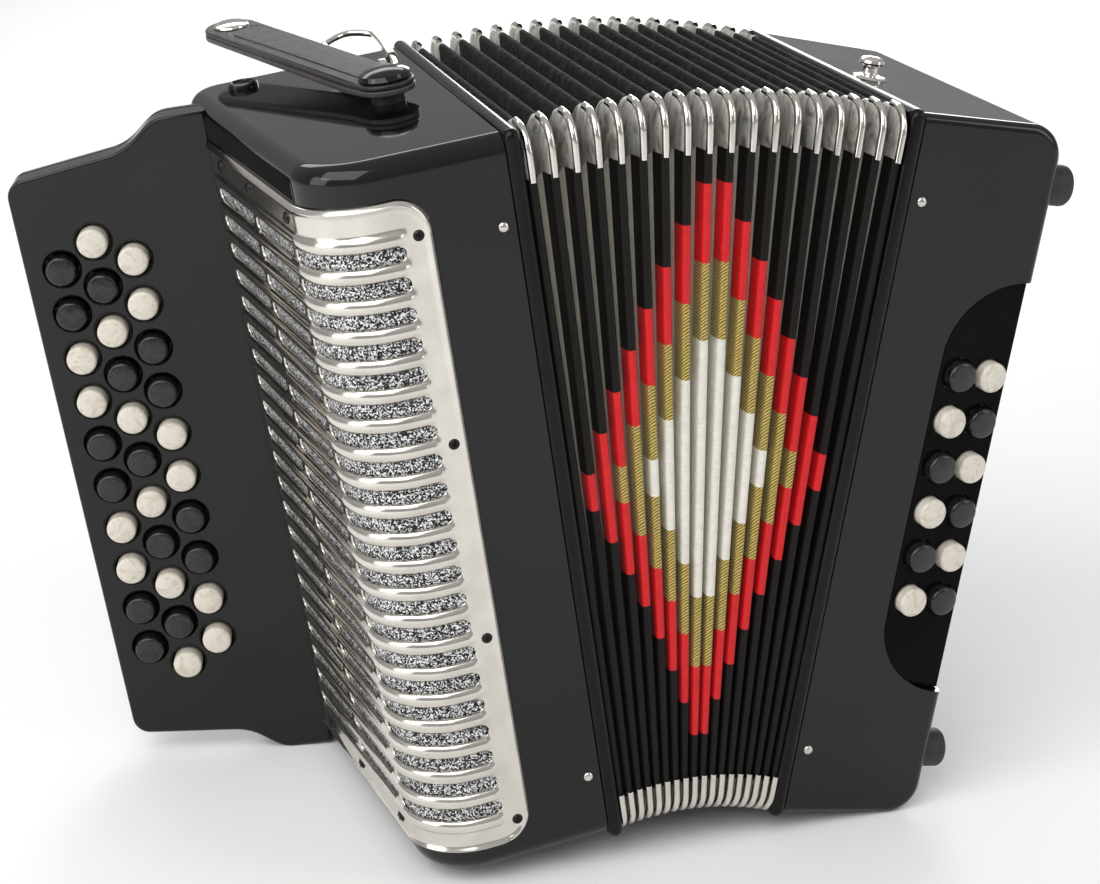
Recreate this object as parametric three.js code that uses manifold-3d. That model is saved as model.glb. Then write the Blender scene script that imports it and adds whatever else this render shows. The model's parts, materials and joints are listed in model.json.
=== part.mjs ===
// Three-row diatonic button accordion: two cases joined by a folded bellows, standing fan-open.
// Units are millimetres. +X runs from the treble case to the bass case, +Y to the back, +Z up.
import * as THREE from "three";
import { mergeVertices } from "three/addons/utils/BufferGeometryUtils.js";
import Module from "manifold-3d";

// ---- Driving dimensions -----------------------------------------------------------------------

const CASE_HEIGHT = 285;
const CASE_DEPTH = 167;
const WALL = 5;
const GAP = 0.3; // clearance between pieces that touch

// The bellows fans about a line just under its bottom edge, where the bottom strap holds it shut.
const TREBLE_TILT = 6.83; // degrees from upright, leaning away from the bellows
const BASS_TILT = 10.61;
const TREBLE_OFFSET = 30.1; // from the fan line to the treble case's open side
const BASS_OFFSET = 42.8;
const CASE_LIFT = 4.8; // bottom of the cases above the fan line

const TREBLE_FRONT_WIDTH = 70;
const TREBLE_BACK_WIDTH = 88.5;
const TREBLE_CORNER = 25; // radius of the front outer corner
const TREBLE_BACK_CORNER = 14;
const TREBLE_EDGE = 7; // rounding of the top and bottom edges

const BASS_WIDTH = 58.7;
const BASS_CORNER = 13; // radius of the top and bottom outer edges
const BASS_BACK_SLANT = 19.1; // degrees, the back face turned towards the outer end

const FRAME_THICKNESS = 6;
const FRAME_PROUD = 1;
const FRAME_BORDER = 13;

const FOLDS = 18;
const FOLD_DEPTH = 20;
const FOLD_WALL = 6; // how far the lining sits inside the outer skin, measured down the fold
const FOLD_INSET = 0.5;

const FINGERBOARD_TURN = 13.9; // degrees, the outer edge set back
const FINGERBOARD_START = [-85.6, 133.6]; // where its front meets the case
const FINGERBOARD_THICKNESS = 15;
const FINGERBOARD_WIDTH = 81;
const FINGERBOARD_MIDDLE = 140.6; // height of its middle
const FINGERBOARD_ROOT = 141.8; // half height next to the case
const FINGERBOARD_NECK = 129.4; // half height where the S-curve ends
const FINGERBOARD_TIP = 124.4; // half height at the outer edge

const TREBLE_BUTTON_RADIUS = 6;
const TREBLE_HOLE_RADIUS = 6.9;
const TREBLE_PITCH = 18.98;
// Rows of buttons, with the numbers of the pale ones counted from the top.
const TREBLE_ROWS = [
  { name: "outer", fromCase: 66.3, count: 10, pale: [3, 4, 7, 8] },
  { name: "middle", fromCase: 51.8, count: 11, pale: [1, 3, 5, 7, 9, 11] },
  { name: "inner", fromCase: 37.4, count: 10, pale: [1, 2, 5, 6, 9, 10] },
];
const TREBLE_ROW_CENTRE = 142.2;
const BUTTON_PROUD = 4.5;
const BUTTON_SUNK = 5;
const BUTTON_HOLE_DEPTH = 10;

const BASS_BUTTON_RADIUS = 6;
const BASS_HOLE_RADIUS = 6.8;
const BASS_PITCH = 18.6;
const BASS_COLUMNS = [
  { name: "inner", fromEdge: 8.9 },
  { name: "outer", fromEdge: 23.2 },
];
const BASS_ROWS = 6;
const BASS_ROW_CENTRE = 140.5;
const PANEL_START = 27; // where the slanted button panel leaves the bass front
const PANEL_TURN = 8.6;
const PANEL_BOTTOM = 55;
const PANEL_TOP = 225;
const PANEL_CORNER = 31;
const PANEL_THICKNESS = 3;
const PANEL_WINDOW = [1.5, 30.5, -10, 15, 84, 197]; // cut in the case behind the buttons

const GRILLE_EDGE = 29.5; // front edge of the grille from the open side
const GRILLE_BOTTOM = 10;
const GRILLE_TOP = 271;
const GRILLE_THICKNESS = 1.5;
const GRILLE_BACK = 130; // how far back it runs along the side
const SLOTS = 21;
const SLOT_HEIGHT = 5;
const SLOT_PITCH = 11.2;
const FIRST_SLOT = 27.6;
// Slots run from this x to the side face, and between two distances back.
const SLOT_SPANS = [
  { inner: -40, front: -10, back: 24 },
  { inner: -60, front: 28, back: 74 },
  { inner: -60, front: 78, back: 124 },
];

const SOUND_WINDOW = { outer: -120, inner: -44, front: -20, back: 116, low: 22, high: 258 };

const SOUNDBOARD_DEPTH = 10; // set back from the open side
const SOUNDBOARD_THICKNESS = 6;
const REED_REACH = 26; // how far the reed blocks stand off the soundboard
const TREBLE_REEDS = { low: 40, high: 245, lanes: [[58, 80], [88, 110]] };
const BASS_REEDS = { low: 60, high: 225, lanes: [[60, 82], [90, 112]] };

const STRAP_THICKNESS = 4;
const STRAP_WIDTH = 22;
const STRAP_SCREW = [-22, 79];
const STRAP_TURN = 109; // degrees from +X, the way its free end points
const STRAP_RISE = 0.07; // slope of the free end
const STRAP_BACK = 13;
const STRAP_LENGTH = 126; // from the screw to the free end
const STRAP_SPACER = 4;
const STRAP_FLAT = 12; // it lies flat this far past the screw, then rises
const SCREW_HEAD = [[0, 0], [10, 0], [7, 2], [0, 3.2]];
const PARKING_STUD = [-65.5, 147];

const BOTTOM_STRAP_ON_TREBLE = 36; // how far it reaches under each case
const BOTTOM_STRAP_ON_BASS = 14;
const BOTTOM_STRAP_FRONT = 62;
const BOTTOM_STRAP_THICKNESS = 3;

// Side profile of the hand strap: distance off the slanted back face, and height.
const HAND_STRAP_ROUTE = [
  [GAP, 26],
  [GAP, 44],
  [17, 96],
  [22, 140],
  [17, 184],
  [GAP, 236],
  [GAP, 250],
];
const HAND_STRAP_THICKNESS = 3;
const HAND_STRAP_SIDE = 10;
const HAND_STRAP_WIDTH = 38;

const RING_WIRE = 1.4; // radius
const EYE_RADIUS = 4.8;
const EYE_HOLE = 2.9;
const TOP_RING_AXIS = [114, 288.2];
const TOP_RING_TILT = 11;
const TOP_EYE_X = -15.5;
const TOP_RING_CORNERS = [
  [-19.5, 0],
  [-15.5, 0],
  [-11.5, 0],
  [-9.3, 16],
  [-9.8, 35],
  [-20, 41],
  [-30.5, 34],
];
const BOTTOM_RING_AXIS = [170.4, 62];
const BACK_EYE_X = -35;
const BOTTOM_RING_CORNERS = [
  [-44, 0],
  [-35, 0],
  [-26, 0],
  [-23, -14],
  [-26, -27],
  [-44, -27],
  [-47, -14],
];

const AIR_BUTTON = [30, 264]; // along and up the slanted back
const AIR_BUTTON_RADIUS = 6;
const AIR_BUTTON_SUNK = 9;
const AIR_BUTTON_PROUD = 6;

const BASS_STUD = [6.8, 67];
const BASS_STUD_PROFILE = [
  [0, -1],
  [2.5, -1],
  [2.5, 2.2],
  [6.5, 2.2],
  [6.5, 3],
  [3.2, 3.4],
  [3.2, 5.4],
  [4.5, 5.8],
  [4.5, 8],
  [3.5, 9],
  [0, 9],
];

const FOOT_RADIUS = 8;
const FOOT_HEIGHT = 11.5;
const FOOT_PLACES = [
  [13, 24],
  [13, 261],
  [128, 24],
  [128, 261],
];

// ---- Solids ------------------------------------------------------------------------------------

const wasm = await Module();
wasm.setup();

const radians = THREE.MathUtils.degToRad;

function solid(geometry) {
  const bare = geometry.index ? geometry.clone() : geometry;
  bare.deleteAttribute("normal");
  bare.deleteAttribute("uv");
  const merged = mergeVertices(bare, 1e-4);
  return new wasm.Manifold(
    new wasm.Mesh({
      numProp: 3,
      vertProperties: merged.attributes.position.array,
      triVerts: new Uint32Array(merged.index.array),
    }),
  );
}

function geometryOf(manifold) {
  const { vertProperties, triVerts } = manifold.getMesh();
  const geometry = new THREE.BufferGeometry();
  geometry.setAttribute("position", new THREE.BufferAttribute(vertProperties, 3));
  geometry.setIndex(new THREE.BufferAttribute(triVerts, 1));
  geometry.computeVertexNormals();
  return geometry;
}

function combine(base, { add = [], cut = [] }) {
  let result = solid(base);
  for (const geometry of add) result = result.add(solid(geometry));
  for (const geometry of cut) result = result.subtract(solid(geometry));
  return geometryOf(result);
}

function block(x0, x1, y0, y1, z0, z1) {
  return new THREE.BoxGeometry(
    Math.abs(x1 - x0),
    Math.abs(y1 - y0),
    Math.abs(z1 - z0),
  ).translate((x0 + x1) / 2, (y0 + y1) / 2, (z0 + z1) / 2);
}

// A closed outline through [x, y, radius] corners, with an arc at each corner that has a radius.
function outline(corners) {
  const shape = new THREE.Shape();
  const points = corners.map(([x, y]) => new THREE.Vector2(x, y));
  corners.forEach(([, , radius = 0], i) => {
    const here = points[i];
    const before = points[(i + points.length - 1) % points.length];
    const after = points[(i + 1) % points.length];
    const back = before.clone().sub(here).normalize();
    const ahead = after.clone().sub(here).normalize();
    const half = Math.acos(THREE.MathUtils.clamp(back.dot(ahead), -1, 1)) / 2;
    const reach = radius / Math.tan(half);
    const start = here.clone().addScaledVector(back, reach);
    if (i === 0) shape.moveTo(start.x, start.y);
    else shape.lineTo(start.x, start.y);
    if (radius === 0) return;
    const middle = back.clone().add(ahead).normalize();
    const centre = here.clone().addScaledVector(middle, radius / Math.sin(half));
    const end = here.clone().addScaledVector(ahead, reach);
    const from = start.clone().sub(centre).angle();
    const to = end.clone().sub(centre).angle();
    const clockwise = back.cross(ahead) > 0;
    shape.absarc(centre.x, centre.y, radius, from, to, clockwise);
  });
  return shape;
}

function extrude(shape, height, curveSegments = 6, bevel = 0) {
  return new THREE.ExtrudeGeometry(shape, {
    depth: height - 2 * bevel,
    curveSegments,
    bevelEnabled: bevel > 0,
    bevelThickness: bevel,
    bevelSize: bevel,
    bevelOffset: -bevel,
    bevelSegments: 3,
  }).translate(0, 0, bevel);
}

// Turns an extrusion of an (x, z) outline so that its thickness runs from y = start towards +Y.
function frontPlate(shape, thickness, start = 0, curveSegments = 6) {
  return extrude(shape, thickness, curveSegments)
    .rotateX(Math.PI / 2)
    .translate(0, start + thickness, 0);
}

// Turns an extrusion of a (y, z) outline so that its width runs from x = start towards +X.
function sidePlate(shape, width, start = 0, curveSegments = 6) {
  return extrude(shape, width, curveSegments)
    .rotateX(Math.PI / 2)
    .rotateZ(Math.PI / 2)
    .translate(start, 0, 0);
}

function cylinder(radius, height, segments = 16) {
  return new THREE.CylinderGeometry(radius, radius, height, segments)
    .rotateX(Math.PI / 2)
    .translate(0, 0, height / 2);
}

// A body turned about +Z from its [radius, height] profile.
function turned(profile, segments) {
  const points = profile.map(([radius, height]) => new THREE.Vector2(radius, height));
  return new THREE.LatheGeometry(points, segments).rotateX(Math.PI / 2);
}

// A button standing along -Y, its top towards the player, with a softened rim.
function buttonGeometry(radius, proud, sunk) {
  const rim = 1;
  const profile = [
    [0, -sunk],
    [radius, -sunk],
    [radius, proud - rim],
    [radius - rim, proud],
    [0, proud],
  ];
  return turned(profile, 10).rotateX(Math.PI / 2);
}

// ---- Materials ---------------------------------------------------------------------------------

const finishes = {
  black_lacquer: { color: 0x0b0a0b, roughness: 0.08, metalness: 0 },
  chrome: { color: 0xd9d8d4, roughness: 0.08, metalness: 1 },
  white_pearl: { color: 0xdad3c6, roughness: 0.25, metalness: 0 },
  black_pearl: { color: 0x2a2b2f, roughness: 0.2, metalness: 0 },
  bellows_cloth: { color: 0x1a1716, roughness: 0.7, metalness: 0 },
  leather: { color: 0x1f1a19, roughness: 0.55, metalness: 0 },
  bare_wood: { color: 0xb98b58, roughness: 0.6, metalness: 0 },
};

function mesh(name, geometry, finish) {
  const made = new THREE.Mesh(geometry, new THREE.MeshStandardMaterial(finishes[finish]));
  made.name = name;
  return made;
}

// ---- Frames of reference -----------------------------------------------------------------------

// Each case has a group whose X = 0 is its open side, Y = 0 its front and Z = 0 its bottom.
function tilted(degrees) {
  const group = new THREE.Group();
  group.rotation.y = radians(degrees);
  return group;
}

const model = new THREE.Group();
const trebleTilt = tilted(-TREBLE_TILT);
const treble = new THREE.Group();
treble.position.set(-TREBLE_OFFSET, 0, CASE_LIFT);
trebleTilt.add(treble);

const bassTilt = tilted(BASS_TILT);
const bass = new THREE.Group();
bass.position.set(BASS_OFFSET, 0, CASE_LIFT);
bassTilt.add(bass);

const fingerboardFrame = new THREE.Group();
fingerboardFrame.position.set(FINGERBOARD_START[0], FINGERBOARD_START[1], 0);
fingerboardFrame.rotation.z = radians(-FINGERBOARD_TURN);
treble.add(fingerboardFrame);

const panelFrame = new THREE.Group();
panelFrame.position.set(PANEL_START, 0, 0);
panelFrame.rotation.z = radians(PANEL_TURN);
bass.add(panelFrame);

const bassBack = new THREE.Group();
bassBack.position.set(0, CASE_DEPTH, 0);
bassBack.rotation.z = radians(-BASS_BACK_SLANT);
bass.add(bassBack);

model.add(trebleTilt, bassTilt);

// ---- Treble case -------------------------------------------------------------------------------

// Plan outline of the treble case, grown outwards by `grow` and carried past the open side.
function treblePlan(grow, past) {
  const slant = (TREBLE_BACK_WIDTH - TREBLE_FRONT_WIDTH) / CASE_DEPTH;
  const side = (y) => -(TREBLE_FRONT_WIDTH + slant * y) - grow;
  return outline([
    [past, -grow],
    [side(-grow), -grow, TREBLE_CORNER + grow],
    [side(CASE_DEPTH + grow), CASE_DEPTH + grow, TREBLE_BACK_CORNER + grow],
    [past, CASE_DEPTH + grow],
  ]);
}

// A small upright plate with a hole, that a wire ring hangs in.
function eye(x, y, z, foot, width = 5) {
  const plate = new THREE.Shape();
  plate.absarc(0, 0, EYE_RADIUS, -Math.PI * 0.25, Math.PI * 1.25, false);
  const reach = EYE_RADIUS * Math.SQRT1_2;
  plate.lineTo(-reach, -foot);
  plate.lineTo(reach, -foot);
  const hole = new THREE.Path();
  hole.absarc(0, 0, EYE_HOLE, 0, Math.PI * 2, true);
  plate.holes.push(hole);
  return sidePlate(plate, width, -width / 2, 8).translate(x, y, z);
}

function trebleCase() {
  const shell = extrude(treblePlan(0, 20), CASE_HEIGHT, 6, TREBLE_EDGE);
  const hollow = extrude(treblePlan(-WALL, 20), CASE_HEIGHT - 2 * WALL, 4).translate(0, 0, WALL);
  const openSide = block(0, 60, -50, 250, -50, 350);
  const { outer, inner, front, back, low, high } = SOUND_WINDOW; // under the grille
  const window = block(outer, inner, front, back, low, high);
  const lidTop = CASE_HEIGHT + STRAP_SPACER;
  const rooted = CASE_HEIGHT - 1; // fittings start a little inside the lid
  const screwPost = cylinder(3, STRAP_SPACER + STRAP_THICKNESS + 3).translate(...STRAP_SCREW, rooted);
  const spacer = cylinder(6, STRAP_SPACER + 1 - GAP).translate(...STRAP_SCREW, rooted);
  const underHead = lidTop + STRAP_THICKNESS + GAP;
  const screwHead = turned(SCREW_HEAD, 16).translate(...STRAP_SCREW, underHead);
  const parkingStud = cylinder(6, 4).translate(...PARKING_STUD, rooted);
  const topEye = eye(TOP_EYE_X, ...TOP_RING_AXIS, TOP_RING_AXIS[1] - rooted, 3);
  const backEye = eye(0, 0, 0, BOTTOM_RING_AXIS[0] - CASE_DEPTH + 1)
    .rotateX(-Math.PI / 2)
    .translate(BACK_EYE_X, ...BOTTOM_RING_AXIS);
  return combine(shell, {
    add: [screwPost, spacer, screwHead, parkingStud, topEye, backEye],
    cut: [openSide, hollow, window],
  });
}

function grille() {
  const slotBlocks = [];
  for (let row = 0; row < SLOTS; row++) {
    const z = FIRST_SLOT + row * SLOT_PITCH;
    for (const { inner, front, back } of SLOT_SPANS)
      slotBlocks.push(block(-200, inner, front, back, z - SLOT_HEIGHT / 2, z + SLOT_HEIGHT / 2));
  }
  const height = GRILLE_TOP - GRILLE_BOTTOM;
  return combine(
    extrude(treblePlan(GAP + GRILLE_THICKNESS, 20), height, 6).translate(0, 0, GRILLE_BOTTOM),
    {
      cut: [
        extrude(treblePlan(GAP, 40), height + 20, 6).translate(0, 0, GRILLE_BOTTOM - 10),
        block(-GRILLE_EDGE, 60, -50, 250, 0, 300),
        block(-150, 10, GRILLE_BACK, 250, 0, 300),
        ...slotBlocks,
      ],
    },
  );
}

function soundboard(depthAtFront, depthAtBack, x) {
  return block(
    x,
    x + SOUNDBOARD_THICKNESS,
    depthAtFront,
    depthAtBack,
    WALL + GAP,
    CASE_HEIGHT - WALL - GAP,
  );
}

// The treble reed blocks are long wooden bars on a common base, which reach into the bellows.
function trebleReedBlocks(x) {
  const { low, high, lanes } = TREBLE_REEDS;
  const base = block(x, x + 3, lanes[0][0], lanes.at(-1)[1], low, high);
  return combine(base, {
    add: lanes.map(([front, back]) => block(x, x + REED_REACH, front, back, low, high)),
  });
}

// The bass blocks stand on a board of their own, one piece with it.
function bassReedBlocks() {
  const { low, high, lanes } = BASS_REEDS;
  const [foot, tip] = [SOUNDBOARD_DEPTH + 1, SOUNDBOARD_DEPTH - REED_REACH];
  return combine(soundboard(WALL + GAP, CASE_DEPTH - 12, SOUNDBOARD_DEPTH), {
    add: lanes.map(([front, back]) => block(foot, tip, front, back, low, high)),
  });
}

// ---- Fingerboard and treble buttons ------------------------------------------------------------

function fingerboardOutline() {
  const shape = new THREE.Shape();
  const [root, neck, tip, mid] = [
    FINGERBOARD_ROOT,
    FINGERBOARD_NECK,
    FINGERBOARD_TIP,
    FINGERBOARD_MIDDLE,
  ];
  const corner = 7;
  const outer = -FINGERBOARD_WIDTH;
  shape.moveTo(0, mid + root);
  shape.lineTo(-14, mid + root);
  shape.bezierCurveTo(-25, mid + root, -26, mid + neck + 1, -41, mid + neck);
  shape.lineTo(outer + corner, mid + tip + 0.6);
  shape.quadraticCurveTo(outer, mid + tip, outer, mid + tip - corner);
  shape.lineTo(outer, mid - tip + corner);
  shape.quadraticCurveTo(outer, mid - tip, outer + corner, mid - tip - 0.6);
  shape.lineTo(-41, mid - neck);
  shape.bezierCurveTo(-26, mid - neck - 1, -25, mid - root, -14, mid - root);
  shape.lineTo(0, mid - root);
  return shape;
}

function circle(x, z, radius) {
  const path = new THREE.Path();
  path.absarc(x, z, radius, 0, Math.PI * 2, true);
  return path;
}

function trebleButtonPlaces() {
  return TREBLE_ROWS.flatMap(({ name, fromCase, count, pale }) =>
    Array.from({ length: count }, (_, i) => ({
      name: `treble_button_${name}_${String(i + 1).padStart(2, "0")}`,
      x: -fromCase,
      z: TREBLE_ROW_CENTRE + ((count - 1) / 2 - i) * TREBLE_PITCH,
      pale: pale.includes(i + 1),
    })),
  );
}

function fingerboard() {
  const drilled = fingerboardOutline();
  for (const { x, z } of trebleButtonPlaces())
    drilled.holes.push(circle(x, z, TREBLE_HOLE_RADIUS));
  const segments = 5;
  const back = FINGERBOARD_THICKNESS - BUTTON_HOLE_DEPTH;
  return combine(frontPlate(drilled, BUTTON_HOLE_DEPTH, 0, segments), {
    add: [frontPlate(fingerboardOutline(), back, BUTTON_HOLE_DEPTH, segments)],
    cut: [
      // The inner end follows the slanted side of the case.
      block(-2, 30, -30, 60, -20, 320)
        .translate(2, 0, 0)
        .rotateZ(radians(FINGERBOARD_TURN) + sideSlant()),
    ],
  });
}

function sideSlant() {
  return Math.atan((TREBLE_BACK_WIDTH - TREBLE_FRONT_WIDTH) / CASE_DEPTH);
}

function addButtons(frame, places, radius) {
  for (const { name, x, z, pale } of places) {
    const shape = buttonGeometry(radius, BUTTON_PROUD, BUTTON_SUNK);
    const button = mesh(name, shape, pale ? "white_pearl" : "black_pearl");
    button.position.set(x, 0, z);
    frame.add(button);
  }
}

// ---- Bellows -----------------------------------------------------------------------------------

// A point in the fan: `share` runs from 0 at the treble frame to 1 at the bass frame.
function fanPoint(share, y, up) {
  const turn = radians(THREE.MathUtils.lerp(-TREBLE_TILT, BASS_TILT, share));
  const along = THREE.MathUtils.lerp(
    -TREBLE_OFFSET + FRAME_THICKNESS + GAP,
    BASS_OFFSET - FRAME_THICKNESS - GAP,
    share,
  );
  const height = CASE_LIFT + up;
  return new THREE.Vector3(
    along * Math.cos(turn) + height * Math.sin(turn),
    y,
    -along * Math.sin(turn) + height * Math.cos(turn),
  );
}

// The rectangular ring of the bellows at one share of the fan, set in by `inset` all round.
function bellowsRing(share, inset) {
  const far = CASE_DEPTH - inset;
  const top = CASE_HEIGHT - inset;
  return [
    [inset, inset],
    [far, inset],
    [far, top],
    [inset, top],
  ].map(([y, up]) => fanPoint(share, y, up));
}

function bellows() {
  const rings = [];
  for (let i = 0; i <= 2 * FOLDS; i++)
    rings.push([i / (2 * FOLDS), i % 2 === 0 ? FOLD_DEPTH : FOLD_INSET]);
  const loop = [
    ...rings,
    ...rings.toReversed().map(([share, inset]) => [share, inset + FOLD_WALL]),
  ];
  const vertices = loop.flatMap(([share, inset]) => bellowsRing(share, inset));
  const faces = [];
  loop.forEach((_, i) => {
    const next = (i + 1) % loop.length;
    for (let side = 0; side < 4; side++) {
      const a = 4 * i + side;
      const b = 4 * i + ((side + 1) % 4);
      const c = 4 * next + ((side + 1) % 4);
      const d = 4 * next + side;
      faces.push(a, b, c, a, c, d);
    }
  });
  const geometry = new THREE.BufferGeometry().setFromPoints(vertices);
  geometry.setIndex(faces);
  geometry.computeVertexNormals();
  return geometry;
}

// A bellows frame: the rectangular ring that carries one end of the bellows on its case.
function bellowsFrame(x0, x1) {
  return combine(
    block(x0, x1, -FRAME_PROUD, CASE_DEPTH + FRAME_PROUD, -FRAME_PROUD, CASE_HEIGHT + FRAME_PROUD),
    {
      cut: [
        block(
          x0 - 5,
          x1 + 5,
          FRAME_BORDER,
          CASE_DEPTH - FRAME_BORDER,
          FRAME_BORDER,
          CASE_HEIGHT - FRAME_BORDER,
        ),
      ],
    },
  );
}

// ---- Bass case ---------------------------------------------------------------------------------

function bassProfile(shrink) {
  const radius = BASS_CORNER - shrink;
  return outline([
    [-20, shrink],
    [BASS_WIDTH - shrink, shrink, radius],
    [BASS_WIDTH - shrink, CASE_HEIGHT - shrink, radius],
    [-20, CASE_HEIGHT - shrink],
  ]);
}

// Everything behind the slanted back face, set forward by `shrink`.
function behindBass(shrink) {
  return block(-60, 160, -shrink, 90, -50, 350)
    .rotateZ(radians(-BASS_BACK_SLANT))
    .translate(0, CASE_DEPTH, 0);
}

function panelOutline(grow) {
  const end = (BASS_WIDTH - PANEL_START) / Math.cos(radians(PANEL_TURN));
  const reach = grow > 0 ? end + 20 : end;
  return outline([
    [reach, PANEL_BOTTOM - grow],
    [reach, PANEL_TOP + grow],
    [-grow, PANEL_TOP + grow, PANEL_CORNER],
    [-grow, PANEL_BOTTOM - grow, PANEL_CORNER],
  ]);
}

function onPanel(geometry) {
  return geometry.rotateZ(radians(PANEL_TURN)).translate(PANEL_START, 0, 0);
}

function bassStud() {
  return turned(BASS_STUD_PROFILE, 12).translate(...BASS_STUD, CASE_HEIGHT);
}

function bassCase() {
  const outer = combine(frontPlate(bassProfile(0), CASE_DEPTH), {
    cut: [behindBass(0), block(-60, 0, -20, 200, -20, 320)],
  });
  const inner = combine(frontPlate(bassProfile(WALL), CASE_DEPTH, WALL), {
    cut: [behindBass(WALL)],
  });
  const feet = FOOT_PLACES.map(([y, z]) =>
    cylinder(FOOT_RADIUS, FOOT_HEIGHT + 1)
      .rotateY(Math.PI / 2)
      .translate(BASS_WIDTH - 1, y, z),
  );
  const [airX, airZ] = AIR_BUTTON;
  const airHole = cylinder(AIR_BUTTON_RADIUS + 0.8, 30)
    .rotateX(Math.PI / 2)
    .translate(airX, 15, airZ)
    .rotateZ(radians(-BASS_BACK_SLANT))
    .translate(0, CASE_DEPTH, 0);
  return combine(outer, {
    add: [bassStud(), ...feet],
    cut: [
      inner,
      onPanel(frontPlate(panelOutline(GAP), 20 + PANEL_THICKNESS, -20 + GAP)),
      onPanel(block(...PANEL_WINDOW)),
      airHole,
    ],
  });
}

function bassButtonPlaces() {
  return BASS_COLUMNS.flatMap(({ name, fromEdge }) =>
    Array.from({ length: BASS_ROWS }, (_, i) => ({
      name: `bass_button_${name}_${i + 1}`,
      x: fromEdge,
      z: BASS_ROW_CENTRE + ((BASS_ROWS - 1) / 2 - i) * BASS_PITCH,
      pale: (i % 2 === 1) === (name === "inner"),
    })),
  );
}

function bassButtonPanel() {
  const plate = panelOutline(0);
  for (const { x, z } of bassButtonPlaces()) plate.holes.push(circle(x, z, BASS_HOLE_RADIUS));
  return frontPlate(plate, PANEL_THICKNESS);
}

// ---- Straps and rings --------------------------------------------------------------------------

// Leather strap on the screw, lying flat near the screw and rising towards its free end.
function topBellowsStrap() {
  const side = new THREE.Shape();
  const rise = (STRAP_LENGTH - STRAP_FLAT) * STRAP_RISE;
  side.moveTo(-STRAP_BACK, 0);
  side.lineTo(STRAP_FLAT, 0);
  side.lineTo(STRAP_LENGTH, rise);
  side.lineTo(STRAP_LENGTH, rise + STRAP_THICKNESS);
  side.lineTo(STRAP_FLAT, STRAP_THICKNESS);
  side.lineTo(-STRAP_BACK, STRAP_THICKNESS);
  const band = frontPlate(side, STRAP_WIDTH, -STRAP_WIDTH / 2);
  return combine(band, { cut: [cylinder(3.4, 30, 12).translate(0, 0, -10)] });
}

// The bottom strap runs flat under both cases and bends with them at the fan line.
function bottomBellowsStrap() {
  const high = -FRAME_PROUD - GAP;
  const low = high - BOTTOM_STRAP_THICKNESS;
  const onTreble = (x, z) => fromFan(-TREBLE_TILT, -TREBLE_OFFSET + x, CASE_LIFT + z);
  const onBass = (x, z) => fromFan(BASS_TILT, BASS_OFFSET + x, CASE_LIFT + z);
  const points = [
    onTreble(-BOTTOM_STRAP_ON_TREBLE, low),
    onTreble(FRAME_THICKNESS, low),
    onBass(-FRAME_THICKNESS, low),
    onBass(BOTTOM_STRAP_ON_BASS, low),
    onBass(BOTTOM_STRAP_ON_BASS, high),
    onBass(-FRAME_THICKNESS, high),
    onTreble(FRAME_THICKNESS, high),
    onTreble(-BOTTOM_STRAP_ON_TREBLE, high),
  ];
  return frontPlate(new THREE.Shape(points), STRAP_WIDTH, BOTTOM_STRAP_FRONT);
}

// Turns (along, height) at the fan line into model X and Z.
function fromFan(degrees, along, height) {
  const turn = radians(degrees);
  return new THREE.Vector2(
    along * Math.cos(turn) + height * Math.sin(turn),
    -along * Math.sin(turn) + height * Math.cos(turn),
  );
}

// A closed wire ring through corner points in the XY plane.
function wireRing(corners) {
  const path = new THREE.CatmullRomCurve3(
    corners.map(([x, y]) => new THREE.Vector3(x, y, 0)),
    true,
    "catmullrom",
    0.35,
  );
  const steps = 32;
  const sides = 8;
  const vertices = [];
  const faces = [];
  const up = new THREE.Vector3(0, 0, 1);
  for (let i = 0; i < steps; i++) {
    const middle = path.getPointAt(i / steps);
    const across = path.getTangentAt(i / steps).cross(up);
    const here = i * sides;
    const next = ((i + 1) % steps) * sides;
    for (let j = 0; j < sides; j++) {
      const turn = (j / sides) * 2 * Math.PI;
      const beside = (j + 1) % sides;
      const point = middle.clone().addScaledVector(across, RING_WIRE * Math.cos(turn));
      vertices.push(point.addScaledVector(up, RING_WIRE * Math.sin(turn)));
      faces.push(here + j, next + beside, here + beside);
      faces.push(here + j, next + j, next + beside);
    }
  }
  const geometry = new THREE.BufferGeometry().setFromPoints(vertices);
  geometry.setIndex(faces);
  geometry.computeVertexNormals();
  return geometry;
}

function bassHandStrap() {
  const band = (lift) => HAND_STRAP_ROUTE.map(([y, z]) => new THREE.Vector2(y + lift, z));
  const points = [...band(0), ...band(HAND_STRAP_THICKNESS).reverse()];
  return sidePlate(new THREE.Shape(points), HAND_STRAP_WIDTH, HAND_STRAP_SIDE);
}

// ---- Assembly ----------------------------------------------------------------------------------

const innerSide = -SOUNDBOARD_DEPTH;
treble.add(
  mesh("treble_case", trebleCase(), "black_lacquer"),
  mesh("grille", grille(), "chrome"),
  mesh(
    "treble_soundboard",
    soundboard(WALL + GAP, CASE_DEPTH - WALL - GAP, innerSide - SOUNDBOARD_THICKNESS),
    "bare_wood",
  ),
  mesh("treble_reed_blocks", trebleReedBlocks(innerSide + GAP), "bare_wood"),
  mesh("treble_bellows_frame", bellowsFrame(GAP, FRAME_THICKNESS), "black_lacquer"),
);
fingerboardFrame.add(mesh("fingerboard", fingerboard(), "black_lacquer"));
addButtons(fingerboardFrame, trebleButtonPlaces(), TREBLE_BUTTON_RADIUS);

model.add(mesh("bellows", bellows(), "bellows_cloth"));

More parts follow.
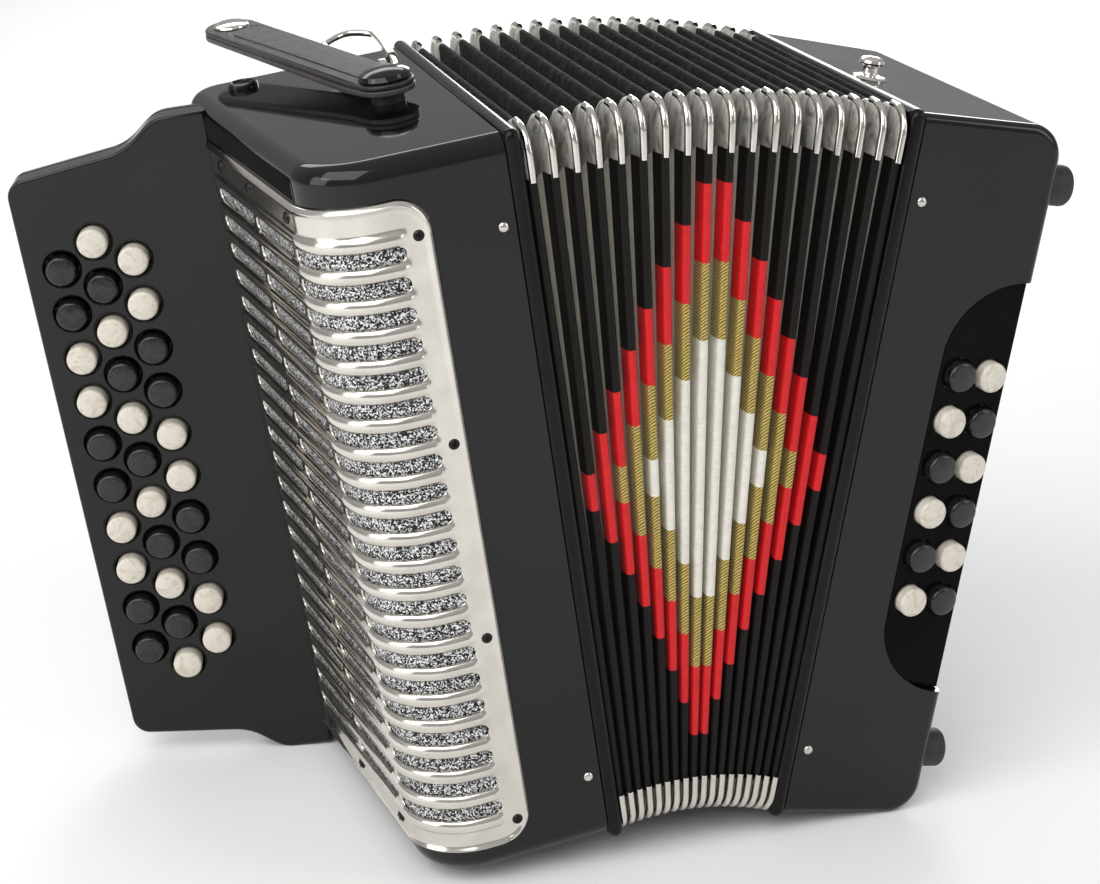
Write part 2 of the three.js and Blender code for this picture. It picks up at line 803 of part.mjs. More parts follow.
bass.add(
  mesh("bass_case", bassCase(), "black_lacquer"),
  mesh("bass_reed_blocks", bassReedBlocks(), "bare_wood"),
  mesh("bass_bellows_frame", bellowsFrame(-FRAME_THICKNESS, -GAP), "black_lacquer"),
);
panelFrame.add(mesh("bass_button_panel", bassButtonPanel(), "black_lacquer"));
addButtons(panelFrame, bassButtonPlaces(), BASS_BUTTON_RADIUS);

bassBack.add(mesh("bass_hand_strap", bassHandStrap(), "leather"));
const airShape = buttonGeometry(AIR_BUTTON_RADIUS, AIR_BUTTON_PROUD, AIR_BUTTON_SUNK);
const airButton = mesh("air_button", airShape.rotateZ(Math.PI), "black_pearl");
airButton.position.set(AIR_BUTTON[0], 0, AIR_BUTTON[1]);
bassBack.add(airButton);

const topStrap = mesh("top_bellows_strap", topBellowsStrap(), "leather");
topStrap.position.set(...STRAP_SCREW, CASE_HEIGHT + STRAP_SPACER);
topStrap.rotation.z = radians(STRAP_TURN);
treble.add(topStrap);
model.add(mesh("bottom_bellows_strap", bottomBellowsStrap(), "leather"));

const topRing = mesh("top_strap_ring", wireRing(TOP_RING_CORNERS), "chrome");
topRing.position.set(0, ...TOP_RING_AXIS);
topRing.rotation.x = radians(TOP_RING_TILT);
treble.add(topRing);

const hanging = wireRing(BOTTOM_RING_CORNERS).rotateX(Math.PI / 2);
const bottomRing = mesh("bottom_strap_ring", hanging, "chrome");
bottomRing.position.set(0, ...BOTTOM_RING_AXIS);
treble.add(bottomRing);

// Stand the instrument on the floor, with the origin under the middle of its box.
model.updateMatrixWorld(true);
const box = new THREE.Box3().setFromObject(model, true);
const centre = box.getCenter(new THREE.Vector3());
model.position.set(-centre.x, -centre.y, -box.min.z);
model.updateMatrixWorld(true);

export default model;
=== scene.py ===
"""Three-row diatonic button accordion, standing fan-open, dressed over its CAD frame."""

import itertools
import json
import math

import bpy
from mathutils import Matrix, Vector
from mathutils.geometry import tessellate_polygon


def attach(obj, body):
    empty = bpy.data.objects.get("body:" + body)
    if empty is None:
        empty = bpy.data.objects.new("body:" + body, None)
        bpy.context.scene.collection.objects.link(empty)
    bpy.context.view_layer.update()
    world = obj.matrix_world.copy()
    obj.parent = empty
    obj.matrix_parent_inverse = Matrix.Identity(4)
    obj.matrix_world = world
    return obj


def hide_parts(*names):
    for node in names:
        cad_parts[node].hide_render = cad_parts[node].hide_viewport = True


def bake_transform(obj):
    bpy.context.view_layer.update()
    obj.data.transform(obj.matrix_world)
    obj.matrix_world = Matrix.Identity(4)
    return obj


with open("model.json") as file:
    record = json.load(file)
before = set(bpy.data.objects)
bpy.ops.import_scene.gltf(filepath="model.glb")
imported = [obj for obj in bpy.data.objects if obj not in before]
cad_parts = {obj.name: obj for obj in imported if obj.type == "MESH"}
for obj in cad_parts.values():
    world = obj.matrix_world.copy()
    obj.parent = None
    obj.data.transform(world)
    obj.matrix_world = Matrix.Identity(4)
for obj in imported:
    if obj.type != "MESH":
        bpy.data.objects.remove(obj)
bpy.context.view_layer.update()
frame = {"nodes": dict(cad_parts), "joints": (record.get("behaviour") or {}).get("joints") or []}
MM = 0.001
JOINTS = {joint["name"]: joint for joint in frame["joints"]}

# ---- Driving dimensions, in millimetres and degrees, as in the CAD model ------------------------

HEIGHT = 285
DEPTH = 167
TREBLE_TILT = 6.83
BASS_TILT = 10.61
TREBLE_OFFSET = 30.1
BASS_OFFSET = 42.8
LIFT = 4.8

TREBLE_FRONT = 70
TREBLE_BACK = 88.5
BASS_WIDTH = 58.7
BASS_SLANT = 19.1
BOARD_START = (-85.6, 133.6)
BOARD_TURN = 13.9
PANEL_START = 27
PANEL_TURN = 8.6
STRAP_SCREW = (-22, 79)
STRAP_TURN = 109
STRAP_LIFT = 4

RED, GOLD, WHITE = "tape_red", "tape_gold", "tape_white"


# ---- Places ------------------------------------------------------------------------------------


def turned(degrees, axis):
    return Matrix.Rotation(math.radians(degrees), 4, axis)


def moved(x, y, z):
    return Matrix.Translation((x * MM, y * MM, z * MM))


fan_x, fan_y, fan_z = (value / MM for value in JOINTS["bellows_fan"]["pos_m"])
FRONT = moved(fan_x, fan_y - DEPTH / 2, fan_z)
TREBLE = FRONT @ turned(-TREBLE_TILT, "Y") @ moved(-TREBLE_OFFSET, 0, LIFT)
BASS = FRONT @ turned(BASS_TILT, "Y") @ moved(BASS_OFFSET, 0, LIFT)
BOARD = TREBLE @ moved(*BOARD_START, 0) @ turned(-BOARD_TURN, "Z")
PANEL = BASS @ moved(PANEL_START, 0, 0) @ turned(PANEL_TURN, "Z")
BASS_BACK = BASS @ moved(0, DEPTH, 0) @ turned(-BASS_SLANT, "Z")
STRAP = TREBLE @ moved(*STRAP_SCREW, HEIGHT + STRAP_LIFT) @ turned(STRAP_TURN, "Z")
OUTWARD = turned(90, "X")  # turns a lathe's +Z into -Y, out of a front face
BACKWARD = turned(-90, "X")
ENDWARD = turned(90, "Y")


# ---- Materials ---------------------------------------------------------------------------------


SOCKETS = {"specular_ior_level": "Specular IOR Level"}


class Finish:
    """A Principled material whose colour, roughness and relief are built up from procedural nodes."""

    def __init__(self, name, color, roughness, **sockets):
        self.material = bpy.data.materials.new(name)
        self.material.use_nodes = True
        self.tree = self.material.node_tree
        self.shader = self.tree.nodes["Principled BSDF"]
        self.shader.inputs["Base Color"].default_value = (*color, 1)
        self.shader.inputs["Roughness"].default_value = roughness
        for socket, value in sockets.items():
            title = SOCKETS.get(socket, socket.replace("_", " ").title())
            self.shader.inputs[title].default_value = value
        self.place = self.node("ShaderNodeTexCoord").outputs["Object"]
        self.material.diffuse_color = (*color, 1)

    def node(self, kind, **values):
        made = self.tree.nodes.new(kind)
        for key, value in values.items():
            if hasattr(made, key):
                setattr(made, key, value)
            else:
                made.inputs[key.replace("_", " ").title()].default_value = value
        return made

    def link(self, source, target):
        self.tree.links.new(source, target)

    def stretched(self, scale, turn=(0, 0, 0)):
        mapping = self.node("ShaderNodeMapping")
        mapping.inputs["Scale"].default_value = scale
        mapping.inputs["Rotation"].default_value = [math.radians(a) for a in turn]
        self.link(self.place, mapping.inputs["Vector"])
        return mapping.outputs["Vector"]

    def noise(self, scale, detail=3, where=None, distortion=0):
        made = self.node("ShaderNodeTexNoise", scale=scale, detail=detail, distortion=distortion)
        self.link(where or self.place, made.inputs["Vector"])
        return made.outputs["Fac"]

    def wave(self, scale, where=None, distortion=1.0, direction="Z"):
        made = self.node("ShaderNodeTexWave", bands_direction=direction, scale=scale, distortion=distortion)
        self.link(where or self.place, made.inputs["Vector"])
        return made.outputs["Fac"]

    def cells(self, scale, feature="F1", output="Distance"):
        made = self.node("ShaderNodeTexVoronoi", feature=feature, scale=scale)
        self.link(self.place, made.inputs["Vector"])
        return made.outputs[output]

    def mixed(self, share, one, two):
        made = self.node("ShaderNodeMix", data_type="FLOAT")
        made.inputs["Factor"].default_value = share
        self.link(one, made.inputs["A"])
        self.link(two, made.inputs["B"])
        return made.outputs["Result"]

    def tint(self, factor, *stops):
        made = self.node("ShaderNodeValToRGB")
        elements = made.color_ramp.elements
        while len(elements) < len(stops):
            elements.new(0.5)
        for element, (position, color) in zip(elements, stops):
            element.position = position
            element.color = (*color, 1)
        self.link(factor, made.inputs["Fac"])
        self.link(made.outputs["Color"], self.shader.inputs["Base Color"])

    def vary_roughness(self, factor, low, high):
        made = self.node("ShaderNodeMapRange")
        made.inputs["To Min"].default_value = low
        made.inputs["To Max"].default_value = high
        self.link(factor, made.inputs["Value"])
        self.link(made.outputs["Result"], self.shader.inputs["Roughness"])

    def relief(self, factor, depth_mm, strength):
        made = self.node("ShaderNodeBump")
        made.inputs["Distance"].default_value = depth_mm * MM
        made.inputs["Strength"].default_value = strength
        self.link(factor, made.inputs["Height"])
        self.link(made.outputs["Normal"], self.shader.inputs["Normal"])
        return self


def shade(color, factor):
    return tuple(min(1, channel * factor) for channel in color)


def lacquer(name="lacquer", gloss=0.4, smooth=0.03, dull=0.085):
    finish = Finish(name, (0.004, 0.0036, 0.0034), 0.05, specular_ior_level=gloss)
    finish.tint(finish.noise(35), (0.3, (0.003, 0.0027, 0.0026)), (0.75, (0.006, 0.0054, 0.005)))
    finish.vary_roughness(finish.noise(60, 5), smooth, dull)
    return finish.relief(finish.noise(28, 1), 0.02, 0.3)


def bright_metal(name, color, roughness=0.07):
    finish = Finish(name, color, roughness, metallic=1)
    finish.tint(finish.noise(90, 4), (0.3, shade(color, 0.86)), (0.7, color))
    finish.vary_roughness(finish.noise(140, 5), roughness * 0.6, roughness * 1.9)
    return finish.relief(finish.noise(55, 2), 0.03, 0.5)


def pearl(name, dark, light):
    finish = Finish(name, dark, 0.22, coat_weight=0.3, coat_roughness=0.06, specular_ior_level=0.35)
    swirl = finish.noise(150, 4, distortion=2.2)
    finish.tint(swirl, (0.36, dark), (0.52, light), (0.66, shade(light, 0.93)))
    finish.vary_roughness(swirl, 0.16, 0.3)
    return finish


def satin(name, color, sheen, gloss=0.35):
    """Woven tape: fine threads across the fold, a slower mottle, and a soft sheen."""
    finish = Finish(name, color, 0.42, sheen_weight=sheen, sheen_roughness=0.3, specular_ior_level=gloss)
    threads = finish.wave(620, distortion=1.5)
    woven = finish.mixed(0.5, threads, finish.noise(420, 4))
    finish.tint(woven, (0.2, shade(color, 0.72)), (0.5, color), (0.85, shade(color, 1.22)))
    finish.vary_roughness(woven, 0.5, 0.34)
    return finish.relief(woven, 0.1, 0.5)


def lurex():
    """Gold tape with metal thread woven across it on the slant."""
    finish = Finish("tape_gold", (0.34, 0.24, 0.05), 0.36, metallic=0.35, sheen_weight=0.2)
    threads = finish.wave(330, finish.stretched((1, 1, 1), (38, 20, 0)), 2.5)
    woven = finish.mixed(0.45, threads, finish.noise(900))
    dark, middle, bright = (0.13, 0.09, 0.016), (0.36, 0.26, 0.05), (0.62, 0.48, 0.13)
    finish.tint(woven, (0.25, dark), (0.5, middle), (0.75, bright))
    return finish.relief(woven, 0.16, 0.7)


def cloth(name, color, depth, scale, sheen, contrast):
    """Brushed bookbinding cloth with short fibres that lie along the fold."""
    finish = Finish(name, color, 0.85, sheen_weight=sheen, sheen_roughness=0.5, specular_ior_level=0.12)
    fibres = finish.noise(scale, 6, finish.stretched((1, 0.35, 0.5)))
    finish.tint(fibres, (0.3, shade(color, 1 / contrast)), (0.55, color), (0.8, shade(color, contrast)))
    return finish.relief(fibres, depth, 0.9)


def gusset():
    finish = Finish("gusset_silver", (0.36, 0.35, 0.32), 0.4, metallic=0.2)
    streaks = finish.noise(95, 6, finish.stretched((1, 1, 0.4), (20, 0, 30)), 3.0)
    finish.tint(
        streaks,
        (0.36, (0.17, 0.165, 0.15)),
        (0.47, (0.36, 0.35, 0.32)),
        (0.60, (0.52, 0.51, 0.47)),
        (0.7, (0.26, 0.25, 0.23)),
    )
    return finish.relief(streaks, 0.3, 0.6)


def glitter():
    finish = Finish("grille_glitter", (0.5, 0.5, 0.5), 0.35, metallic=0.35)
    split = finish.node("ShaderNodeSeparateColor")
    finish.link(finish.cells(2000, output="Color"), split.inputs["Color"])
    finish.tint(
        split.outputs["Red"],
        (0.0, (0.004, 0.004, 0.005)),
        (0.5, (0.018, 0.018, 0.019)),
        (0.56, (0.26, 0.26, 0.265)),
        (0.8, (0.95, 0.95, 0.95)),
    )
    finish.vary_roughness(split.outputs["Green"], 0.2, 0.6)
    return finish.relief(split.outputs["Blue"], 0.5, 0.9)


def leather(name, color):
    finish = Finish(name, color, 0.5, coat_weight=0.15, coat_roughness=0.4)
    grain = finish.cells(900, "SMOOTH_F1")
    finish.tint(finish.noise(160, 5), (0.3, shade(color, 0.7)), (0.7, shade(color, 1.35)))
    finish.vary_roughness(finish.noise(240, 4), 0.38, 0.62)
    return finish.relief(grain, 0.18, 0.6)


def rubber():
    finish = Finish("foot_rubber", (0.014, 0.014, 0.015), 0.55)
    finish.tint(finish.noise(500, 5), (0.3, (0.01, 0.01, 0.01)), (0.7, (0.024, 0.024, 0.025)))
    return finish.relief(finish.noise(900, 4), 0.08, 0.6)


def wood():
    finish = Finish("reed_wood", (0.5, 0.33, 0.18), 0.55)
    rings = finish.wave(16, finish.stretched((1, 1, 0.08)), 5, "X")
    finish.tint(rings, (0.1, (0.36, 0.22, 0.11)), (0.9, (0.58, 0.40, 0.23)))
    return finish.relief(finish.noise(600, 4, finish.stretched((1, 1, 0.05))), 0.1, 0.5)


FINISHES = {
    "lacquer": lacquer(),
    "frame_lacquer": lacquer("frame_lacquer", 0.2, 0.14, 0.26),
    "panel_gloss": lacquer("panel_gloss", 0.04),
    "chrome": bright_metal("chrome", (0.74, 0.71, 0.655)),
    "grille_chrome": bright_metal("grille_chrome", (0.76, 0.725, 0.665), 0.13),
    "nickel": bright_metal("nickel", (0.70, 0.67, 0.62), 0.14),
    "black_screw": bright_metal("black_screw", (0.035, 0.033, 0.032), 0.22),
    "pearl_white": pearl("pearl_white", (0.58, 0.52, 0.43), (0.70, 0.655, 0.57)),
    "pearl_black": pearl("pearl_black", (0.004, 0.004, 0.0045), (0.016, 0.0155, 0.017)),
    "tape_black": satin("tape_black", (0.0075, 0.0065, 0.006), sheen=0.03, gloss=0.16),
    "tape_red": satin("tape_red", (0.60, 0.008, 0.012), sheen=0.15),
    "tape_gold": lurex(),
    "tape_white": satin("tape_white", (0.74, 0.715, 0.64), sheen=0.1),
    "ridge_cloth": cloth("ridge_cloth", (0.0075, 0.0065, 0.006), 0.9, 560, 0.04, 4.6),
    "lining": cloth("lining", (0.80, 0.775, 0.70), 0.1, 500, 0, 1.1),
    "gusset": gusset(),
    "glitter": glitter(),
    "leather": leather("strap_leather", (0.019, 0.016, 0.0145)),
    "leather_edge": leather("strap_edge", (0.050, 0.045, 0.041)),
    "thread": satin("strap_thread", (0.012, 0.010, 0.009), sheen=0.05),
    "rubber": rubber(),
    "wood": wood(),
}


# ---- Mesh tools --------------------------------------------------------------------------------

RIGHT_ANGLE = math.pi / 2


def linked(name, data):
    """A new object in the scene, with a mesh, a light or a camera as its data."""
    made = bpy.data.objects.new(name, data)
    bpy.context.scene.collection.objects.link(made)
    return made


def weigh_normals(made):
    """Shades the flat faces flat, and lets the small rounded ones between them bend the light."""
    normals = made.modifiers.new("normals", "WEIGHTED_NORMAL")
    normals.keep_sharp = True
    normals.weight = 100


def piece(name, body, place, points, faces, finishes, which=None, soften=35, weighted=True):
    """Links a mesh of millimetre points, set by `place`, that rides on `body`."""
    mesh = bpy.data.meshes.new(name)
    mesh.from_pydata([place @ (Vector(point) * MM) for point in points], [], faces)
    for finish in [finishes] if isinstance(finishes, str) else finishes:
        mesh.materials.append(FINISHES[finish].material)
    if which:
        mesh.polygons.foreach_set("material_index", which)
    mesh.validate()
    mesh.update()
    mesh.shade_smooth()
    mesh.set_sharp_from_angle(angle=math.radians(soften))
    made = linked(name, mesh)
    if weighted:
        weigh_normals(made)
    if body:
        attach(made, body)
    return made


def loft(rings, closed=True, caps=True):
    """Joins equal rings of points with quads, and closes the two ends."""
    count = len(rings[0])
    points = [point for ring in rings for point in ring]
    faces = []
    for level in range(len(rings) - 1):
        here = level * count
        above = here + count
        for i in range(count if closed else count - 1):
            j = (i + 1) % count
            faces.append((here + i, here + j, above + j, above + i))
    if caps:
        faces.append(tuple(reversed(range(count))))
        faces.append(tuple(range(len(points) - count, len(points))))
    return points, faces


def lathe(profile, steps=32):
    """Turns (radius, height) points about Z. A point on the axis closes its end."""
    points, faces, starts = [], [], []
    for radius, height in profile:
        starts.append(len(points))
        points += [(x, y, height) for x, y in circle(0, 0, radius, 1 if radius == 0 else steps)]
    for (r0, _), (r1, _), a, b in zip(profile, profile[1:], starts, starts[1:]):
        for i in range(steps):
            j = (i + 1) % steps
            if r0 == 0:
                faces.append((a, b + i, b + j))
            elif r1 == 0:
                faces.append((a + i, a + j, b))
            else:
                faces.append((a + i, a + j, b + j, b + i))
    return points, faces


def rounded(corners, steps=8):
    """Points round a closed outline of (x, y, radius) corners, with an arc at each rounded corner."""
    points = []
    count = len(corners)
    for i, (x, y, radius) in enumerate(corners):
        here = Vector((x, y))
        if radius == 0:
            points.append((x, y))
            continue
        back = (Vector(corners[i - 1][:2]) - here).normalized()
        ahead = (Vector(corners[(i + 1) % count][:2]) - here).normalized()
        half = back.angle(ahead) / 2
        centre = here + (back + ahead).normalized() * radius / math.sin(half)
        start = here + back * radius / math.tan(half) - centre
        bend = math.copysign(math.pi - 2 * half, -back.cross(ahead))
        for step in range(steps + 1):
            points.append(tuple(centre + Matrix.Rotation(bend * step / steps, 2) @ start))
    return points


def rectangle(x0, y0, x1, y1, left=0, right=0):
    """The four corners of an upright rectangle, with radii for its left and its right pair."""
    return [(x0, y0, left), (x1, y0, right), (x1, y1, right), (x0, y1, left)]


def inset(outline, distance):
    """An anticlockwise outline moved inwards, each corner along its own mitre."""
    moved_points = []
    sharpest = 0.3
    for i, point in enumerate(outline):
        here = Vector(point)
        one = (here - Vector(outline[i - 1])).normalized()
        two = (Vector(outline[(i + 1) % len(outline)]) - here).normalized()
        inward = Vector((-one.y - two.y, one.x + two.x))
        scale = max(sharpest, inward.length / 2)
        moved_points.append(tuple(here + inward.normalized() * distance / scale))
    return moved_points


def area(outline):
    pairs = zip(outline, outline[1:] + outline[:1])
    return sum(x0 * y1 - x1 * y0 for (x0, y0), (x1, y1) in pairs) / 2


def circle(x, y, radius, steps=32):
    turns = [2 * math.pi * i / steps for i in range(steps)]
    return [(x + radius * math.cos(a), y + radius * math.sin(a)) for a in turns]


def rolled(radius, steps):
    """(inset, level) pairs from a flat face over its rounded edge to the side."""
    turns = [RIGHT_ANGLE * step / steps for step in range(steps + 1)]
    return [(radius * (1 - math.sin(turn)), radius * (1 - math.cos(turn))) for turn in turns]


def slab(outline, thickness, bevel, holes=(), steps=3):
    """A plate from z = 0 down to z = -thickness, with softened rims on its outline and holes."""
    if area(outline) < 0:
        outline = outline[::-1]
    loops = [outline] + [hole[::-1] if area(hole) > 0 else hole for hole in holes]
    points, faces, tops, bottoms = [], [], [], []
    for loop in loops:
        rings = [[(x, y, -level) for x, y in inset(loop, shrink)] for shrink, level in rolled(bevel, steps)]
        rings += [[(x, y, -thickness - z) for x, y, z in ring] for ring in rings[::-1]]
        count = len(loop)
        base = len(points)
        strip, quads = loft(rings, caps=False)
        points += strip
        faces += [tuple(base + i for i in reversed(quad)) for quad in quads]
        tops.append(range(base, base + count))
        bottoms.append(range(base + len(strip) - count, base + len(strip)))
    for rims, flip in ((tops, False), (bottoms, True)):
        index = [i for rim in rims for i in rim]
        for triangle in tessellate_polygon([[Vector(points[i]) for i in rim] for rim in rims]):
            face = tuple(index[i] for i in triangle)
            a, b, c = (Vector(points[i]) for i in face)
            upwards = (b - a).cross(c - a).z > 0
            faces.append(face if upwards != flip else face[::-1])
    return points, faces


def sweep(path, section):
    """Carries a section of (across, up) points round a closed path, keeping it from twisting."""
    pairs = zip(path[-1:] + path[:-1], path[1:] + path[:1])
    tangents = [(after - before).normalized() for before, after in pairs]
    up = tangents[0].orthogonal().normalized()
    rings = []
    for point, tangent in zip(path, tangents):
        up = (up - tangent * up.dot(tangent)).normalized()
        across = tangent.cross(up)
        rings.append([tuple(point + across * x + up * y) for x, y in section])
    return loft(rings + rings[:1], caps=False)


def smooth_path(corners, closed=False, steps=8):
    """Catmull-Rom points through the corners."""
    count = len(corners)
    path = []
    for i in range(count if closed else count - 1):
        near = [i + k for k in (-1, 0, 1, 2)]
        near = [k % count if closed else max(0, min(count - 1, k)) for k in near]
        p0, p1, p2, p3 = (Vector(corners[k]) for k in near)
        for step in range(steps):
            t = step / steps
            point = 2 * p1 + (p2 - p0) * t
            point += (2 * p0 - 5 * p1 + 4 * p2 - p3) * t * t
            point += (3 * p1 - p0 - 3 * p2 + p3) * t**3
            path.append(0.5 * point)
    if not closed:
        path.append(Vector(corners[-1]))
    return path


def merge(*parts):
    points, faces = [], []
    for more_points, more_faces in parts:
        base = len(points)
        points += more_points
        faces += [tuple(base + i for i in face) for face in more_faces]
    return points, faces


def shifted(part, place):
    """A part of millimetre points set by a matrix in metres."""
    points, faces = part
    return [tuple(place @ (Vector(point) * MM) / MM) for point in points], faces


def dome(radius, height, steps=6):
    """A lathe profile from a rim at height 0 over a low dome to the axis."""
    turns = [RIGHT_ANGLE * step / steps for step in range(steps, 0, -1)]
    return [(radius * math.sin(turn), height * math.cos(turn)) for turn in turns] + [(0, height)]


def button_profile(radius, proud, sunk, rim, crown):
    """A lathe profile for a button: flat base, straight side, rolled rim and a slight crown."""
    profile = [(0, -sunk), (radius, -sunk)]
    profile += [(radius - level, proud - crown - shrink) for shrink, level in rolled(rim, 5)]
    profile += [((radius - rim) * 0.55, proud - crown * 0.3), (0, proud)]
    return profile


# ---- Cases -------------------------------------------------------------------------------------

TREBLE_EDGE = 7
BASS_EDGE = 3.5
FRAME_BORDER = 14
PLAN_STEPS = 14


def treble_plan(grow):
    """Plan outline of the treble case, from the open side round the front, side and back."""
    slant = (TREBLE_BACK - TREBLE_FRONT) / DEPTH
    front = -(TREBLE_FRONT - slant * grow) - grow
    back = -(TREBLE_FRONT + slant * (DEPTH + grow)) - grow
    corners = [
        (0, -grow, 0),
        (front, -grow, 25 + grow),
        (back, DEPTH + grow, 14 + grow),
        (0, DEPTH + grow, 0),
    ]
    return rounded(corners, PLAN_STEPS)


def treble_shell():
    low = rolled(TREBLE_EDGE, 7)
    levels = low + [(shrink, HEIGHT - level) for shrink, level in low[::-1]]
    rings = [[(x, y, level) for x, y in treble_plan(-shrink)] for shrink, level in levels]
    body = piece("treble_shell", "treble", TREBLE, *loft(rings), "lacquer")
    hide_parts("treble_case")


def bass_outline(shrink):
    corners = rectangle(0, shrink, BASS_WIDTH - shrink, HEIGHT - shrink, 0, 13 - shrink)
    return rounded(corners, 10)


def bass_back(x):
    return DEPTH - x * math.tan(math.radians(BASS_SLANT))


def panel_outline(grow, reach):
    low, high = 55 - grow, 225 + grow
    corners = [(reach, low, 0), (reach, high, 0), (-grow, high, 31), (-grow, low, 31)]
    return rounded(corners, 12)


def bass_shell():
    """The bass case with its slanted back, cut away for the button panel."""
    rim = rolled(BASS_EDGE, 5)
    rings = [[(x, level, z) for x, z in bass_outline(shrink)] for shrink, level in rim]
    for shrink, level in rim[::-1]:
        rings.append([(x, bass_back(x) - level, z) for x, z in bass_outline(shrink)])
    points, faces = loft(rings)
    faces = [face[::-1] for face in faces]
    shell = piece("bass_shell", None, BASS, points, faces, "lacquer", weighted=False)
    deep, proud = 3, 40
    block = slab(panel_outline(0.3, 60), deep + proud, 0.01, steps=1)
    above = PANEL @ OUTWARD @ moved(0, 0, proud)
    cutter = piece("recess_cutter", None, above, *block, "lacquer", weighted=False)
    cut = shell.modifiers.new("recess", "BOOLEAN")
    cut.object = cutter
    cut.operation = "DIFFERENCE"
    cut.solver = "EXACT"
    depsgraph = bpy.context.evaluated_depsgraph_get()
    shell.data = bpy.data.meshes.new_from_object(shell.evaluated_get(depsgraph))
    shell.modifiers.remove(cut)
    bpy.data.objects.remove(cutter)
    shell.data.set_sharp_from_angle(angle=math.radians(35))
    weigh_normals(shell)
    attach(shell, "bass")
    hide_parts("bass_case")


def bellows_frame(name, node, body, place, x0, x1):
    """A rectangular ring with a rolled bead round its outside."""

    def ring(x, grow):
        corners = rectangle(-grow, -grow, DEPTH + grow, HEIGHT + grow, 3, 3)
        return [(x, y, z) for y, z in rounded(corners, 5)]

    middle, half = (x0 + x1) / 2, (x1 - x0) / 2
    turns = [math.pi * step / 12 for step in range(13)]
    rings = [ring(middle - half * math.cos(turn), -0.8 + 2.2 * math.sin(turn)) for turn in turns]
    rings += [ring(x1, -FRAME_BORDER), ring(x0, -FRAME_BORDER), rings[0]]
    made = piece(name, body, place, *loft(rings, caps=False), "frame_lacquer")
    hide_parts(node)


# ---- Screws, pins and feet ---------------------------------------------------------------------


def cross_screw(name, body, place, radius=2.4, finish="black_screw"):
    """A domed screw head, with two dark bars on it as painted shade for a cross recess."""
    piece(name, body, place, *lathe([(radius, -0.6), *dome(radius, 1.1)], 20), finish)
    reach, half = radius * 0.6, 0.32
    # the recess is not cut: near-black bars stand in it as painted shade
    bar = slab([(-reach, -half), (reach, -half), (reach, half), (-reach, half)], 0.5, 0.05, steps=1)
    painted_shade_bars = [shifted(bar, turned(turn, "Z") @ moved(0, 0, 1.14)) for turn in (0, 90)]
    piece(name + "_cross_painted_shade", body, place, *merge(*painted_shade_bars), "tape_black")


def pins():
    """The nickel pins that hold the bellows frames, two in front and two behind on each case."""
    head = lathe([(2.0, -0.5), *dome(2.0, 1.2)], 20)
    for body, place, x in (("treble", TREBLE, -4.6), ("bass", BASS, 4.8)):
        back = bass_back(x) if body == "bass" else DEPTH
        spots = [(y, z, facing) for y, facing in ((0, OUTWARD), (back, BACKWARD)) for z in (252.6, 28.8)]
        for number, (y, z, facing) in enumerate(spots, 1):
            piece(f"{body}_pin_{number}", body, place @ moved(x, y, z) @ facing, *head, "nickel")


def feet():
    profile = [(0, -1), (8.4, -1), (8.4, 0.8), (7.9, 1.4), (7.9, 9.2)]
    profile += [(7.9 - 1.9 * (1 - math.cos(a)), 9.2 + 2.3 * math.sin(a)) for a in (0.5, 1.0, 1.57)]
    profile += [(3.0, 11.5), (2.4, 10.4), (0, 10.4)]
    places = ((13, 24), (13, 261), (128, 24), (128, 261))
    for number, (y, z) in enumerate(places, 1):
        spot = BASS @ moved(BASS_WIDTH, y, z) @ ENDWARD
        piece(f"foot_{number}", "bass", spot, *lathe(profile, 40), "rubber")


def bass_stud():
    base = [(0, -1), (6.9, -1), (6.9, 0.6), (6.2, 1.5), (3.2, 2.2)]
    neck = [(2.9, 3.0), (2.9, 5.2), (3.4, 5.7), (4.6, 6.0)]
    knob = [(4.9, 6.6), (4.7, 7.6), (3.6, 8.6), (1.8, 9.0), (0, 9.05)]
    spot = BASS @ moved(6.8, 67, HEIGHT)
    piece("bass_strap_stud", "bass", spot, *lathe(base + neck + knob, 36), "chrome")


# ---- Grille ------------------------------------------------------------------------------------

GRILLE_EDGE = 29.5
GRILLE_BACK = 130
GRILLE_LOW = 10
GRILLE_HIGH = 271
SLOT_COUNT = 21
SLOT_PITCH = 11.2
FIRST_SLOT = 27.6
SLOT_HALF = 2.5
RIB_HEIGHT = 1.6
GRILLE_RADIUS = 13
GRILLE_STAND = 1.2  # how far the sheet's outside stands out from the case
GRILLE_MARGIN = 6


def grille_path(grow):
    """Plan points of the grille's outside from its front edge round to its back edge."""
    outline = [Vector(point) for point in treble_plan(grow)]
    bend_end, ahead = outline[PLAN_STEPS + 1 : PLAN_STEPS + 3]
    direction = (ahead - bend_end).normalized()
    last = bend_end + direction * (GRILLE_BACK - bend_end.y) / direction.y
    return [Vector((-GRILLE_EDGE, -grow)), *outline[1 : PLAN_STEPS + 2], last]


def along_path(path, distance):
    """The point at a distance along a plan path, and the normal there, out of the case."""
    for a, b in zip(path, path[1:]):
        length = (b - a).length
        if distance <= length or b is path[-1]:
            direction = (b - a).normalized()
            return a + direction * distance, Vector((-direction.y, direction.x))
        distance -= length


def path_length(path):
    return sum((b - a).length for a, b in zip(path, path[1:]))


def smoothstep(value):
    value = max(0.0, min(1.0, value))
    return value * value * (3 - 2 * value)


